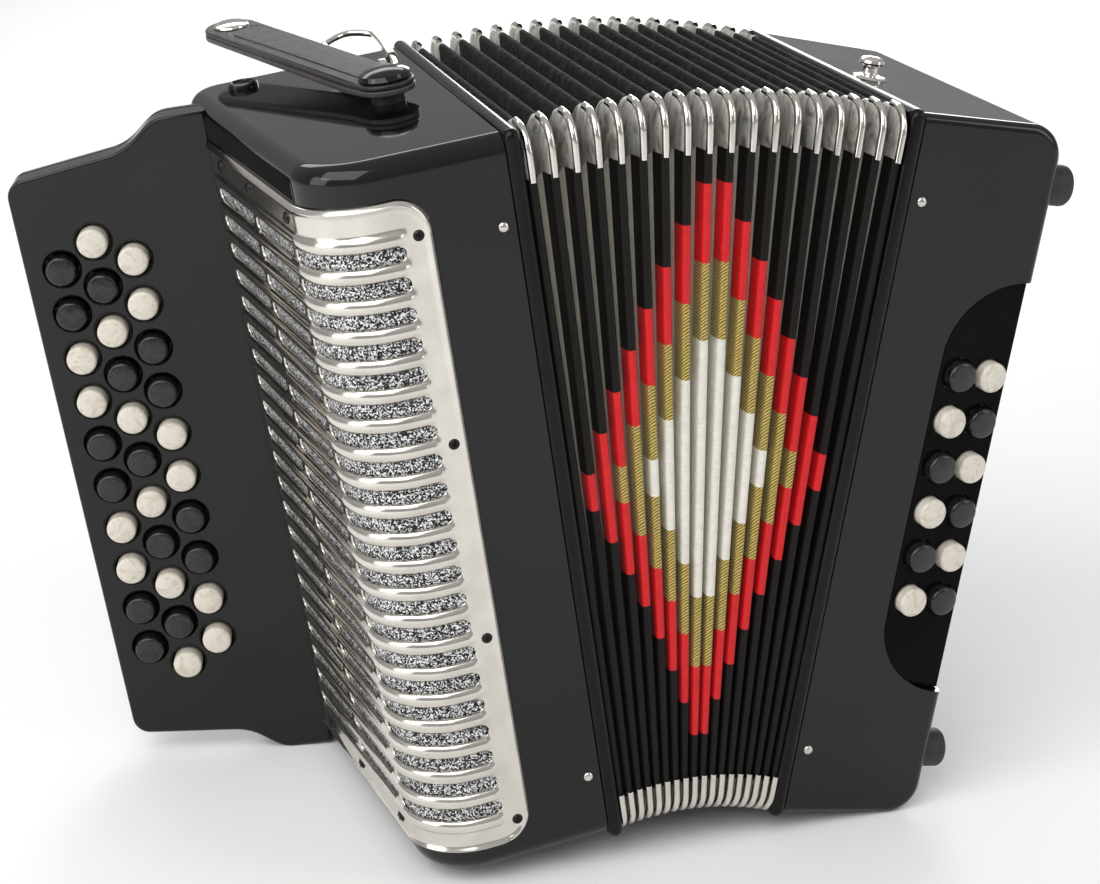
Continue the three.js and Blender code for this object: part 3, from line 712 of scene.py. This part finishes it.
def grille_columns(spans, length):
    """Distances along the grille: close together at slot ends and rims, and wider between them."""
    front_length, corner_end = spans[0]
    places = set()
    for start, end in spans:
        for k in range(7):
            ease = SLOT_HALF * (1 - math.cos(RIGHT_ANGLE * k / 6))
            places |= {start + ease, end - ease}
        steps = int((end - start) / 2.5)
        places |= {start + SLOT_HALF + (end - start - 2 * SLOT_HALF) * k / steps for k in range(steps)}
    places |= {front_length * k / 18 for k in range(18)}
    places |= {corner_end + k for k in (1, 2, 3, 51, 52, 53)}
    places |= {length - GRILLE_MARGIN + k * 1.5 for k in range(5)}
    return sorted({round(place, 3) for place in places})


def half_slot(spans, s):
    """Half the height of the slot at a distance along the grille, with round ends."""
    for start, end in spans:
        if start < s < end:
            near = min(s - start, end - s, SLOT_HALF)
            return math.sqrt(max(0, SLOT_HALF**2 - (SLOT_HALF - near) ** 2))
    return 0.0


def round_off(s):
    """How far the grille's rounded corner cuts in at a distance from its front edge."""
    if s >= GRILLE_RADIUS:
        return 0.0
    return GRILLE_RADIUS - math.sqrt(GRILLE_RADIUS**2 - (GRILLE_RADIUS - s) ** 2)


def rim_distance(s, z):
    level = min(z - GRILLE_LOW, GRILLE_HIGH - z)
    if s < GRILLE_RADIUS and level < GRILLE_RADIUS:
        return GRILLE_RADIUS - math.hypot(GRILLE_RADIUS - s, GRILLE_RADIUS - level)
    return min(s, level)


def grille_rows():
    """Rows up the grille as (kind, where, part): the two plain ends, slot edges and ribs."""
    rib = SLOT_PITCH - 2 * SLOT_HALF
    low_rib = FIRST_SLOT - SLOT_HALF - rib
    high_rib = FIRST_SLOT + SLOT_COUNT * SLOT_PITCH - SLOT_HALF
    rows = [("low", low_rib, step / 14) for step in range(15)]
    rows += [("rib", low_rib + rib * t / 6, t / 6) for t in range(1, 7)]
    for k in range(SLOT_COUNT):
        centre = FIRST_SLOT + k * SLOT_PITCH
        rows += [("slot", centre, -1), ("slot", centre, 1)]
        rows += [("rib", centre + SLOT_HALF + rib * t / 6, t / 6) for t in range(7)]
    return rows + [("high", high_rib, step / 18) for step in range(1, 19)]


def grille_sheet():
    """The pressed grille: slots with round ends, rolled ribs between them, and a raised border."""
    path = grille_path(GRILLE_STAND)
    length = path_length(path)
    front_length = 40 - GRILLE_EDGE
    corner_end = length - (GRILLE_BACK - 24)
    spans = [
        (front_length, corner_end),
        (corner_end + 4, corner_end + 50),
        (corner_end + 54, length - GRILLE_MARGIN),
    ]
    columns = grille_columns(spans, length)
    rows = grille_rows()
    points = []
    for kind, where, part in rows:
        for s in columns:
            cut = round_off(s)
            lift = 0.0
            z = where
            if kind == "low":
                z = GRILLE_LOW + cut + (where - GRILLE_LOW - cut) * part
            elif kind == "high":
                z = where + (GRILLE_HIGH - cut - where) * part
            elif kind == "slot":
                z += part * half_slot(spans, s)
            elif 0 < part < 1:
                flatten = smoothstep((s - front_length + 2) / 5) * smoothstep((length - 4 - s) / 4)
                lift = RIB_HEIGHT * math.sin(math.pi * part) ** 0.8 * flatten
            z = min(max(z, GRILLE_LOW + cut), GRILLE_HIGH - cut)
            edge = rim_distance(s, z)
            lift += 1.1 * math.exp(-((edge - 1.9) ** 2)) - 0.9 * max(0, 1 - edge / 0.8)
            spot, normal = along_path(path, s)
            spot = spot + normal * lift
            points.append((spot.x, spot.y, z))
    wide = len(columns)
    faces = []
    for r, (low, high) in enumerate(zip(rows, rows[1:])):
        if low[0] == high[0] == "slot":
            continue
        for a in range(r * wide, (r + 1) * wide - 1):
            quad = (a, a + wide, a + wide + 1, a + 1)
            heights = [points[i][2] for i in quad]
            if max(heights) - min(heights) > 0.01:
                faces.append(quad)
    made = piece("grille_sheet", None, TREBLE, points, faces, "grille_chrome", soften=50, weighted=False)
    made.modifiers.new("weld", "WELD").merge_threshold = 0.02 * MM
    thick = made.modifiers.new("thickness", "SOLIDIFY")
    thick.thickness = 1.0 * MM
    thick.offset = -1
    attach(made, "treble")
    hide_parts("grille")


def grille_backing():
    path = grille_path(0.35)
    inner = path_length(path) - 8
    spots = [along_path(path, 6 + inner * k / 60)[0] for k in range(61)]
    rings = [[(spot.x, spot.y, z) for z in (16, 264)] for spot in spots]
    piece("grille_backing", "treble", TREBLE, *loft(rings, closed=False, caps=False), "glitter")


def grille_screws():
    """Four screws down the front edge, and three along the top and the bottom of the side."""
    for number, z in enumerate((256.8, 177.9, 99.0, 20.0), 1):
        spot = TREBLE @ moved(-35, -GRILLE_STAND, z) @ OUTWARD
        cross_screw(f"grille_screw_{number}", "treble", spot, 2.1)
    path = grille_path(GRILLE_STAND)
    places = [(s, z) for z in (264, 16.5) for s in (64, 112, 150)]
    for number, (s, z) in enumerate(places, 5):
        spot, normal = along_path(path, s)
        facing = normal.to_3d().to_track_quat("Z", "Y").to_matrix().to_4x4()
        cross_screw(f"grille_screw_{number}", "treble", TREBLE @ moved(spot.x, spot.y, z) @ facing)


# ---- Fingerboard and buttons -------------------------------------------------------------------

BOARD_MIDDLE = 140.6
BOARD_THICK = 11
BUTTON_RADIUS = 6.05
TREBLE_HOLE_RADIUS = 7
BASS_HOLE_RADIUS = 6.85
TREBLE_ROWS = {"outer": (66.3, 10), "middle": (51.8, 11), "inner": (37.4, 10)}
TREBLE_PITCH = 18.98
TREBLE_CENTRE = 142.2
PALE_TREBLE = {
    "outer": (3, 4, 7, 8),
    "middle": (1, 3, 5, 7, 9, 11),
    "inner": (1, 2, 5, 6, 9, 10),
}
BASS_COLUMNS = {"inner": 8.9, "outer": 23.2}
BASS_PITCH = 18.6
BASS_CENTRE = 140.5


def treble_button_places():
    for row, (x, count) in TREBLE_ROWS.items():
        for number in range(1, count + 1):
            z = TREBLE_CENTRE + ((count + 1) / 2 - number) * TREBLE_PITCH
            pale = number in PALE_TREBLE[row]
            yield f"treble_button_{row}_{number:02d}", -x, z, pale


def bass_button_places():
    for column, x in BASS_COLUMNS.items():
        for number in range(1, 7):
            z = BASS_CENTRE + (3.5 - number) * BASS_PITCH
            pale = (number % 2 == 0) == (column == "inner")
            yield f"bass_button_{column}_{number}", x, z, pale


def bezier(p0, p1, p2, p3, steps=12):
    """Points along a cubic curve, without its first."""
    curve = []
    for step in range(1, steps + 1):
        t = step / steps
        u = 1 - t
        weights = (u**3, 3 * u * u * t, 3 * u * t * t, t**3)
        curve.append(tuple(sum(w * p for w, p in zip(weights, axis)) for axis in zip(p0, p1, p2, p3)))
    return curve


def board_outline():
    """The fingerboard: full height at the case, with a curved shoulder down to the outer edge."""
    root, neck, tip = (BOARD_MIDDLE + half for half in (141.8, 129.4, 124.4))
    outer = -81
    upper = [(1.5, root), (-14, root)]
    upper += bezier((-14, root), (-25, root), (-26, neck + 1), (-41, neck))
    upper.append((outer + 7, tip + 0.6))
    upper += bezier((outer + 7, tip + 0.6), (outer + 3, tip + 0.4), (outer, tip - 3), (outer, tip - 7), 7)
    return upper + [(x, 2 * BOARD_MIDDLE - z) for x, z in upper[::-1]]


def fingerboard():
    """A drilled front over a thinner back."""
    holes = [circle(x, z, TREBLE_HOLE_RADIUS) for _, x, z, _ in treble_button_places()]
    front = slab(board_outline(), BOARD_THICK, 1.3, holes)
    made = piece("fingerboard_slab", "treble", BOARD @ OUTWARD, *front, "lacquer")
    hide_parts("fingerboard")
    back = slab(board_outline(), 4, 1.3)
    piece("fingerboard_back", "treble", BOARD @ moved(0, BOARD_THICK, 0) @ OUTWARD, *back, "lacquer")


def buttons():
    key = lathe(button_profile(BUTTON_RADIUS, 4.5, 5, 1.4, 0.5), 40)
    for board, places in ((BOARD, treble_button_places()), (PANEL, bass_button_places())):
        for node, x, z, pale in places:
            finish = "pearl_white" if pale else "pearl_black"
            spot = board @ moved(x, 0, z) @ OUTWARD
            made = piece(node.replace("button", "key"), node, spot, *key, finish)
            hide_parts(node)


def bass_panel():
    reach = (BASS_WIDTH - PANEL_START) / math.cos(math.radians(PANEL_TURN)) - 0.4
    holes = [circle(x, z, BASS_HOLE_RADIUS) for _, x, z, _ in bass_button_places()]
    plate = slab(panel_outline(0, reach), 3, 0.25, holes, 2)
    made = piece("bass_panel_plate", "bass", PANEL @ OUTWARD, *plate, "panel_gloss")
    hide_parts("bass_button_panel")


def air_key():
    spot = BASS_BACK @ moved(30, 0, 264) @ BACKWARD
    key = lathe(button_profile(6, 6, 9, 1.2, 0.6), 36)
    made = piece("air_key", "air_button", spot, *key, "pearl_black")
    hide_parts("air_button")
    collar = [(6.6, -0.4), (8.6, -0.4), (8.6, 0.7), (8.1, 1.3), (7.2, 1.5), (6.6, 1.1), (6.6, -0.4)]
    piece("air_key_collar", "bass", spot, *lathe(collar, 36), "chrome")


# ---- Bellows -----------------------------------------------------------------------------------

FOLDS = 18
FOLD_DEPTH = 14
TAPE_DEPTH = 6.5
RIDGE_HALF = 1.7
CORNER = 9
TAPE_LOW, TAPE_HIGH = 14, 267
DIAMOND_CENTRE = 144.7
DIAMOND_STEP = 14.67
FAN_START = -TREBLE_OFFSET + 6.2
FAN_END = BASS_OFFSET - 6.2
FIRST_RIDGE = 0.014
RIDGE_SPAN = 0.972
PITCH_SHARE = RIDGE_SPAN / (FOLDS - 1)
RIDGE = ((-1, 1.3), (-0.8, 0.6), (-0.45, 0.15), (0, 0), (0.45, 0.15), (0.8, 0.6), (1, 1.3))
RIDGE_DEPTH = 1.3
FLANK = (2.4, 4.2, TAPE_DEPTH - 0.2, TAPE_DEPTH + 0.2)


def tilted_point(degrees, along, y, level):
    """A point `along` and `level` in a frame that leans by an angle about the fan line."""
    turn = math.radians(degrees)
    height = LIFT + level
    across = along * math.cos(turn) + height * math.sin(turn)
    return across, y, -along * math.sin(turn) + height * math.cos(turn)


def fan_place(share):
    """The lean and the distance along at a share from 0, the treble frame, to 1, the bass frame."""
    return -TREBLE_TILT + (TREBLE_TILT + BASS_TILT) * share, FAN_START + (FAN_END - FAN_START) * share


def fan_point(share, y, level):
    """A point of the bellows in the frame of the fan line, at a share of the way across."""
    return tilted_point(*fan_place(share), y, level)


def fold_share(fold):
    return FIRST_RIDGE + RIDGE_SPAN * fold / (FOLDS - 1)


def fold_pitch(level):
    """Distance between neighbouring ridges at a height, in millimetres."""
    spread = (FAN_END - FAN_START) + (LIFT + level) * math.radians(TREBLE_TILT + BASS_TILT)
    return spread * RIDGE_SPAN / (FOLDS - 1)


def perimeter():
    """Stations round the bellows, each a function from inset to (y, level), and its zone."""
    levels = {TAPE_LOW, TAPE_HIGH, CORNER, HEIGHT - CORNER, 20, 27, 260, 273}
    levels |= {DIAMOND_CENTRE + DIAMOND_STEP * (k + 0.5) * side for k in range(8) for side in (-1, 1)}

    def side(front, level):
        def at(deep):
            low, high = CORNER + deep, HEIGHT - CORNER - deep
            return (deep if front else DEPTH - deep), min(high, max(low, level))

        return at, ("front" if front else "back", level)

    def flat(top, share):
        def at(deep):
            start, end = CORNER + deep, DEPTH - CORNER - deep
            return start + (end - start) * share, (HEIGHT - deep if top else deep)

        return at, ("top" if top else "bottom", share)

    def bend(centre_y, centre_z, turn):
        def at(deep):
            y = centre_y + math.copysign(deep, DEPTH / 2 - centre_y) + CORNER * math.cos(turn)
            z = centre_z + math.copysign(deep, HEIGHT / 2 - centre_z) + CORNER * math.sin(turn)
            return y, z

        return at, "corner"

    def corner(centre_y, centre_z, start):
        return [bend(centre_y, centre_z, start - RIGHT_ANGLE * k / 5) for k in range(1, 5)]

    far, high = DEPTH - CORNER, HEIGHT - CORNER
    stations = [side(True, level) for level in sorted(levels)]
    stations += corner(CORNER, high, math.pi)
    stations += [flat(True, k / 18) for k in range(19)]
    stations += corner(far, high, RIGHT_ANGLE)
    stations += [side(False, level) for level in sorted(levels, reverse=True)]
    stations += corner(far, CORNER, 0)
    stations += [flat(False, 1 - k / 10) for k in range(11)]
    return stations + corner(CORNER, CORNER, -RIGHT_ANGLE)


def tape_color(fold, level):
    """Which tape the diamond has on this fold at this height."""
    distance = abs(fold - (FOLDS - 1) / 2) + 0.5
    away = abs(level - DIAMOND_CENTRE) / DIAMOND_STEP
    if distance > 8 or away > 8.5 - distance:
        return "tape_black"
    if away > 6.5 - distance:
        return RED
    if away > 4.5 - distance:
        return GOLD
    return WHITE


SKIN_FINISHES = ["tape_black", RED, GOLD, WHITE, "ridge_cloth", "lining", "gusset"]


def skin_finish(fold, zone_a, zone_b, deep):
    """The finish between two stations at an average inset."""
    if "corner" in (zone_a, zone_b) or zone_a[0] != zone_b[0]:
        return "gusset"
    side = zone_a[0]
    middle = (zone_a[1] + zone_b[1]) / 2
    if side in ("top", "bottom"):
        if side == "top" and not 0.03 < middle < 0.97:
            return "gusset"
        return "ridge_cloth"
    if not TAPE_LOW < middle < TAPE_HIGH:
        return "gusset"
    if deep > TAPE_DEPTH:
        return "lining"
    return tape_color(fold, middle) if side == "front" else "tape_black"


def hand_blend(made):
    """Bakes the piece's placing into its points; nothing blends them between the treble and bass cases."""
    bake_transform(made)


def bellows_skin():
    """The pleats, with tape on the ridges, lining in the valleys and gusset cloth at the corners."""
    stations = perimeter()
    profile = []
    for fold in range(FOLDS):
        if fold:
            profile.append((fold, -1, FOLD_DEPTH))
        profile += [(fold, -1, deep) for deep in FLANK[::-1]]
        profile += [(fold, across, deep) for across, deep in RIDGE]
        profile += [(fold, 1, deep) for deep in FLANK]
    rings, shares = [], []
    for fold, across, deep in profile:
        ridge_share = fold_share(fold)
        down = max(0, (deep - RIDGE_DEPTH) / (FOLD_DEPTH - RIDGE_DEPTH))
        follow = ridge_share + across * down / 2 * PITCH_SHARE
        ring = []
        for at, _ in stations:
            y, level = at(deep)
            ridge = min(RIDGE_HALF / fold_pitch(level), 0.36)
            reach = across * (ridge + (0.5 - ridge) * down)
            ring.append(fan_point(ridge_share + reach * PITCH_SHARE, y, level))
            shares.append(min(1, max(0, follow)))
        rings.append(ring)
    which = []
    for (fold_a, _, deep_a), (fold_b, _, deep_b) in zip(profile, profile[1:]):
        fold = fold_b if deep_a > deep_b else fold_a
        for (_, zone_a), (_, zone_b) in zip(stations, stations[1:] + stations[:1]):
            finish = skin_finish(fold, zone_a, zone_b, (deep_a + deep_b) / 2)
            which.append(SKIN_FINISHES.index(finish))
    pleats = loft(rings, caps=False)
    skin = piece("bellows_skin", None, FRONT, *pleats, SKIN_FINISHES, which, soften=60, weighted=False)
    hand_blend(skin)
    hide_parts("bellows")


def bellows_corners():
    """Half-round metal corner guards over both ends of each ridge, at all four corners."""
    turns = [RIGHT_ANGLE * k / 12 for k in range(13)]
    bend = [(-CORNER * math.cos(a), CORNER * math.sin(a)) for a in turns]
    crown = [math.pi * k / 8 for k in range(9)]
    section = [(1.35 * math.cos(a), 0.1 + 1.5 * math.sin(a)) for a in crown] + [(-1.2, -0.9), (1.2, -0.9)]
    run_over = 4
    parts, shares = [], []
    for fold, front, top in itertools.product(range(FOLDS), (True, False), (True, False)):
        run_down = HEIGHT - TAPE_HIGH - CORNER + 1 if top else 8
        trail = [Vector(spot) for spot in [(-CORNER, -run_down), *bend, (run_over, CORNER)]]
        share = fold_share(fold)
        rings = []
        for step, spot in enumerate(trail):
            tangent = (trail[min(len(trail) - 1, step + 1)] - trail[max(0, step - 1)]).normalized()
            ring = []
            for across, proud in section:
                y = CORNER + spot.x - tangent.y * proud
                z = HEIGHT - CORNER + spot.y + tangent.x * proud
                z = z if top else HEIGHT - z
                y = y if front else DEPTH - y
                ring.append(fan_point(share + across / fold_pitch(z) * PITCH_SHARE, y, z))
            rings.append(ring)
        points, faces = loft(rings)
        parts.append((points, faces if front == top else [face[::-1] for face in faces]))
        shares += [share] * len(points)
    guards = merge(*parts)
    made = piece("bellows_corner_guards", None, FRONT, *guards, "chrome", soften=50, weighted=False)
    hand_blend(made)


# ---- Straps and rings --------------------------------------------------------------------------

SNAP = 117  # where the snap sits along the top strap
WIRE_RADIUS = 1.35
STITCH_PITCH = 2.6


def strap_shape(length_back, length_ahead, width, steps=8):
    """Outline of a strap with round ends along +X, anticlockwise."""
    half = width / 2
    body = 24
    arc = [math.pi * k / (2 * steps) for k in range(-steps, steps + 1)]
    ahead = [(length_ahead - half + half * math.cos(a), half * math.sin(a)) for a in arc]
    back = [(-length_back + half - half * math.cos(a), -half * math.sin(a)) for a in arc]
    straight = length_ahead + length_back - width
    upper = [(length_ahead - half - straight * k / body, half) for k in range(1, body)]
    return ahead + upper + back + [(x, -half) for x, _ in upper[::-1]]


def strap_height(x):
    """The strap lies flat round its screw and rises a little towards its free end."""
    return 0.07 * max(0, x - 12)


def strap_layer(outline, low, high, bevel):
    """A layer of leather between two heights, bent up with the strap."""
    points, faces = slab(outline, high - low, bevel)
    return [(x, y, z + high + strap_height(x)) for x, y, z in points], faces


def top_strap():
    under = strap_layer(strap_shape(11, 128, 22), 0.0, 2.1, 0.5)
    over = strap_layer(strap_shape(10.8, 127.8, 21.6), 2.2, 4.2, 0.7)
    panel = strap_layer(strap_shape(6.5, 108, 13.5), 4.0, 5.0, 0.5)
    made = piece("top_strap_under", "top_strap", STRAP, *under, "leather_edge")
    piece("top_strap_over", "top_strap", STRAP, *over, "leather")
    piece("top_strap_panel", "top_strap", STRAP, *panel, "leather")
    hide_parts("top_bellows_strap")
    piece("top_strap_stitches", "top_strap", STRAP, *stitches(), "thread", weighted=False)
    cap = [(7.0, -0.2), (7.2, 0.4), (6.9, 1.0), (5.6, 1.5), (3, 1.9), (0, 2.0)]
    tip = STRAP @ moved(SNAP, 0, 4.4 + strap_height(SNAP)) @ turned(-4, "Y")
    piece("top_strap_snap", "top_strap", tip, *lathe(cap, 40), "chrome")
    socket = [(0, 0.2), (5.5, 0.2), (5.5, -1.6), (4.2, -2.2), (3.4, -2.2), (3.4, -1.0), (0, -1.0)]
    under_tip = STRAP @ moved(SNAP, 0, strap_height(SNAP)) @ turned(-4, "Y")
    piece("top_strap_socket", "top_strap", under_tip, *lathe(socket, 32), "chrome")


def stitches():
    """A row of stitches round the strap, just inside its edge."""
    stitch = lathe([(0, -0.95), (0.28, -0.6), (0.34, 0), (0.28, 0.6), (0, 0.95)], 6)
    seam = strap_shape(9, 112, 17.4)
    walk = [Vector(point) for point in seam + seam[:1]]
    row = []
    carried = 0.0
    for a, b in zip(walk, walk[1:]):
        span = (b - a).length
        heading = b - a
        turn = Matrix.Rotation(math.atan2(heading.y, heading.x), 4, "Z")
        while carried < span:
            spot = a.lerp(b, carried / span)
            place = moved(spot.x, spot.y, 4.25 + strap_height(spot.x)) @ turn @ ENDWARD
            row.append(shifted(stitch, place))
            carried += STITCH_PITCH
        carried -= span
    return merge(*row)


def strap_screw():
    spot = TREBLE @ moved(*STRAP_SCREW, HEIGHT)
    spacer = [(0, -0.5), (6.4, -0.5), (6.4, 3.6), (3.2, 3.6), (3.2, 9.2), (0, 9.2)]
    piece("strap_spacer", "treble", spot, *lathe(spacer, 32), "rubber")
    head = [(0, 8.8), (9.9, 8.8), (10.2, 9.2), (9.8, 9.9)]
    head += [(10.0 * math.cos(a), 9.7 + 3.4 * math.sin(a)) for a in (0.35, 0.7, 1.05, 1.35)]
    head.append((0, 13.1))
    piece("strap_screw_head", "treble", spot, *lathe(head, 44), "lacquer")
    stud = [(0, -0.5), (6.0, -0.5), (6.0, 1.4), (5.5, 2.2), (4.4, 2.4), (3.9, 1.8), (0, 1.6)]
    piece("parking_stud", "treble", TREBLE @ moved(-65.5, 147, HEIGHT), *lathe(stud, 36), "black_screw")


def eye_plate(name, place):
    """A small metal ear with a hole, standing on its foot."""
    turns = [-0.9 + (math.pi + 1.8) * k / 20 for k in range(21)]
    outline = [(4.6 * math.cos(a), 4.6 * math.sin(a)) for a in turns] + [(-6.2, -3.2), (6.2, -3.2)]
    piece(name, "treble", place, *slab(outline, 2.6, 0.5, [circle(0, 0, 2.7, 24)]), "chrome")


def wire_ring(label, place, corners, steps):
    loop = sweep(smooth_path(corners, True, steps), circle(0, 0, WIRE_RADIUS, 12))
    made = piece(f"{label}_ring_wire", f"{label}_ring", place, *loop, "chrome")
    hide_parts(f"{label}_strap_ring")


def top_ring():
    """A pear-shaped ring with a nut on one side, leaning out of the way of the strap."""
    axis = TREBLE @ moved(0, 114, 288.2)
    foot = [(-19.5, 0), (-17, -0.2), (-14, -0.2), (-11.5, 0), (-9.6, 5), (-9.3, 16)]
    head = [(-9.5, 30), (-11.5, 36.5), (-20, 41), (-28.5, 36.8), (-30.6, 32), (-25, 15), (-21, 4)]
    place = axis @ turned(11, "X")
    wire_ring("top", place, [(x, y, 0) for x, y in foot + head], 6)
    nut = lathe([(1.3, -4.2), (2.3, -4.0), (2.5, -3.4), (2.5, 3.4), (2.3, 4.0), (1.3, 4.2)], 6)
    piece("top_ring_nut", "top_ring", place @ moved(-9.35, 14, 0) @ OUTWARD, *nut, "nickel", soften=20)
    upright = turned(90, "Z") @ turned(90, "X") @ turned(180, "Y")
    eye_plate("top_ring_eye", axis @ moved(-16.8, 0, 0) @ upright)


def bottom_ring():
    axis = TREBLE @ moved(0, 170.4, 62)
    corners = [(-44, 0), (-35, 0.2), (-26, 0), (-23, -14), (-26, -27), (-44, -27), (-47, -14)]
    wire_ring("bottom", axis, [(x, 0, z) for x, z in corners], 8)
    eye_plate("bottom_ring_eye", axis @ moved(-33.7, 0, 0) @ ENDWARD @ turned(90, "Z"))


def hand_strap():
    """The leather hand strap over the back of the bass case, with its end plates."""
    proud = (1.6, 1.6, 6, 15.5, 21.5, 15.5, 6, 1.6, 1.6)
    up = (20, 38, 58, 92, 140, 190, 226, 244, 258)
    path = smooth_path([(0, y, z) for y, z in zip(proud, up)], steps=6)
    turns = [2 * math.pi * k / 20 for k in range(20)]
    rings = []
    for i, point in enumerate(path):
        tangent = (path[min(len(path) - 1, i + 1)] - path[max(0, i - 1)]).normalized()
        outward = Vector((0, tangent.z, -tangent.y))
        ring = []
        for turn in turns:
            across = 19 * math.copysign(abs(math.cos(turn)) ** 0.25, math.cos(turn))
            thick = 1.7 * math.copysign(abs(math.sin(turn)) ** 0.7, math.sin(turn))
            ring.append(tuple(point + outward * (thick + 1.6) + Vector((29 + across, 0, 0))))
        rings.append(ring)
    points, faces = loft(rings)
    made = piece("hand_strap_leather", "bass", BASS_BACK, points, [face[::-1] for face in faces], "leather")
    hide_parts("bass_hand_strap")
    plate = slab(rounded(rectangle(7, -9, 51, 9, 3, 3), 5), 1.4, 0.4)
    for number, z in enumerate((29, 250), 1):
        spot = BASS_BACK @ moved(0, 5.9, z) @ BACKWARD
        piece(f"hand_strap_plate_{number}", "bass", spot, *plate, "chrome")
        for side, x in enumerate((13, 45), 1):
            spot = BASS_BACK @ moved(x, 6.0, z) @ BACKWARD
            cross_screw(f"hand_strap_screw_{number}_{side}", "bass", spot, 2.6, "nickel")


def bottom_strap():
    """The closed strap under the bellows, which bends at the fan line."""
    low, high, half, middle = -4.3, -1.3, 11, 73
    soft = 0.6
    stops = [(-TREBLE_TILT, -TREBLE_OFFSET + x, 0.0) for x in (-36, -20, -8, 6)]
    stops += [(*fan_place(k / 12), k / 12) for k in range(1, 12)]
    stops += [(BASS_TILT, BASS_OFFSET + x, 1.0) for x in (-6, 4, 14)]
    side = [(half - soft, low), (half, low + soft), (half, high)]
    section = [(-y, level) for y, level in side[::-1]] + side
    rings = []
    for lean, along, _ in stops:
        rings.append([tilted_point(lean, along, middle + y, level) for y, level in section])
    made = piece("bottom_strap_leather", None, FRONT, *loft(rings), "leather", weighted=False)
    hand_blend(made)
    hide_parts("bottom_bellows_strap")


def inner_works():
    for node in ("treble_soundboard", "treble_reed_blocks", "bass_reed_blocks"):
        materials = frame["nodes"][node].data.materials
        materials.clear()
        materials.append(FINISHES["wood"].material)


# ---- Studio ------------------------------------------------------------------------------------


def floor():
    half = 9
    mesh = bpy.data.meshes.new("floor")
    corners = [(x, y, 0) for x, y, _ in rectangle(-half, -half, half, half)]
    mesh.from_pydata(corners, [], [(0, 1, 2, 3)])
    pale = Finish("floor_paper", (0.88, 0.88, 0.88), 0.75)
    pale.tint(pale.noise(3), (0.3, (0.87, 0.87, 0.87)), (0.7, (0.89, 0.89, 0.89)))
    mesh.materials.append(pale.material)
    linked("floor", mesh)


def soft_light(name, power, size, place, target=(0, 0, 0.15)):
    light = bpy.data.lights.new(name, "AREA")
    light.energy = power
    light.shape = "RECTANGLE"
    light.size, light.size_y = size
    made = linked(name, light)
    made.visible_camera = False
    made.location = place
    made.rotation_euler = (Vector(target) - Vector(place)).to_track_quat("-Z", "Y").to_euler()


def studio():
    """A bright, even surround for the white backdrop, and soft boxes for the highlights."""
    world = bpy.data.worlds.new("studio")
    world.use_nodes = True
    tree = world.node_tree
    background = tree.nodes["Background"]
    place = tree.nodes.new("ShaderNodeTexCoord").outputs["Generated"]
    split = tree.nodes.new("ShaderNodeSeparateXYZ")
    ramp = tree.nodes.new("ShaderNodeValToRGB")
    for element, (position, level) in zip(ramp.color_ramp.elements, ((0.0, 0.62), (1.0, 1.0))):
        element.position = position
        element.color = (level, level, level, 1)
    tree.links.new(place, split.inputs[0])
    tree.links.new(split.outputs["Z"], ramp.inputs["Fac"])
    tree.links.new(ramp.outputs["Color"], background.inputs["Color"])
    background.inputs["Strength"].default_value = 0.58
    bpy.context.scene.world = world
    bpy.context.scene.view_settings.view_transform = "Standard"
    soft_light("key", 25, (2.0, 1.5), (-1.0, -0.9, 1.6))
    soft_light("fill", 6, (0.6, 1.4), (1.5, -1.1, 0.9))
    soft_light("rim", 8, (1.6, 0.5), (0.0, 1.6, 1.5))
    soft_light("side", 9, (1.0, 1.2), (-1.9, -0.4, 0.75))
    soft_light("horizon", 22, (1.1, 0.8), (1.22, 2.3, 0.94))


def camera():
    """The view from above the treble end of the front, through a moderately long lens."""
    data = bpy.data.cameras.new("camera")
    data.lens = 75.58
    data.sensor_width = 36
    data.clip_start = 0.05
    made = linked("camera", data)
    made.location = FRONT.translation + Vector((-269.0, -749.55, 471.2)) * MM
    made.rotation_euler = [math.radians(angle) for angle in (68.8507, 1.3993, -16.805)]
    bpy.context.scene.camera = made


def build():
    camera()
    floor()
    studio()
    treble_shell()
    bass_shell()
    bellows_frame("treble_bead", "treble_bellows_frame", "treble", TREBLE, 0.2, 6)
    bellows_frame("bass_bead", "bass_bellows_frame", "bass", BASS, -6, -0.2)
    grille_sheet()
    grille_backing()
    grille_screws()
    fingerboard()
    bass_panel()
    buttons()
    air_key()
    bellows_skin()
    bellows_corners()
    top_strap()
    strap_screw()
    top_ring()
    bottom_ring()
    hand_strap()
    bottom_strap()
    feet()
    bass_stud()
    pins()
    inner_works()


build()
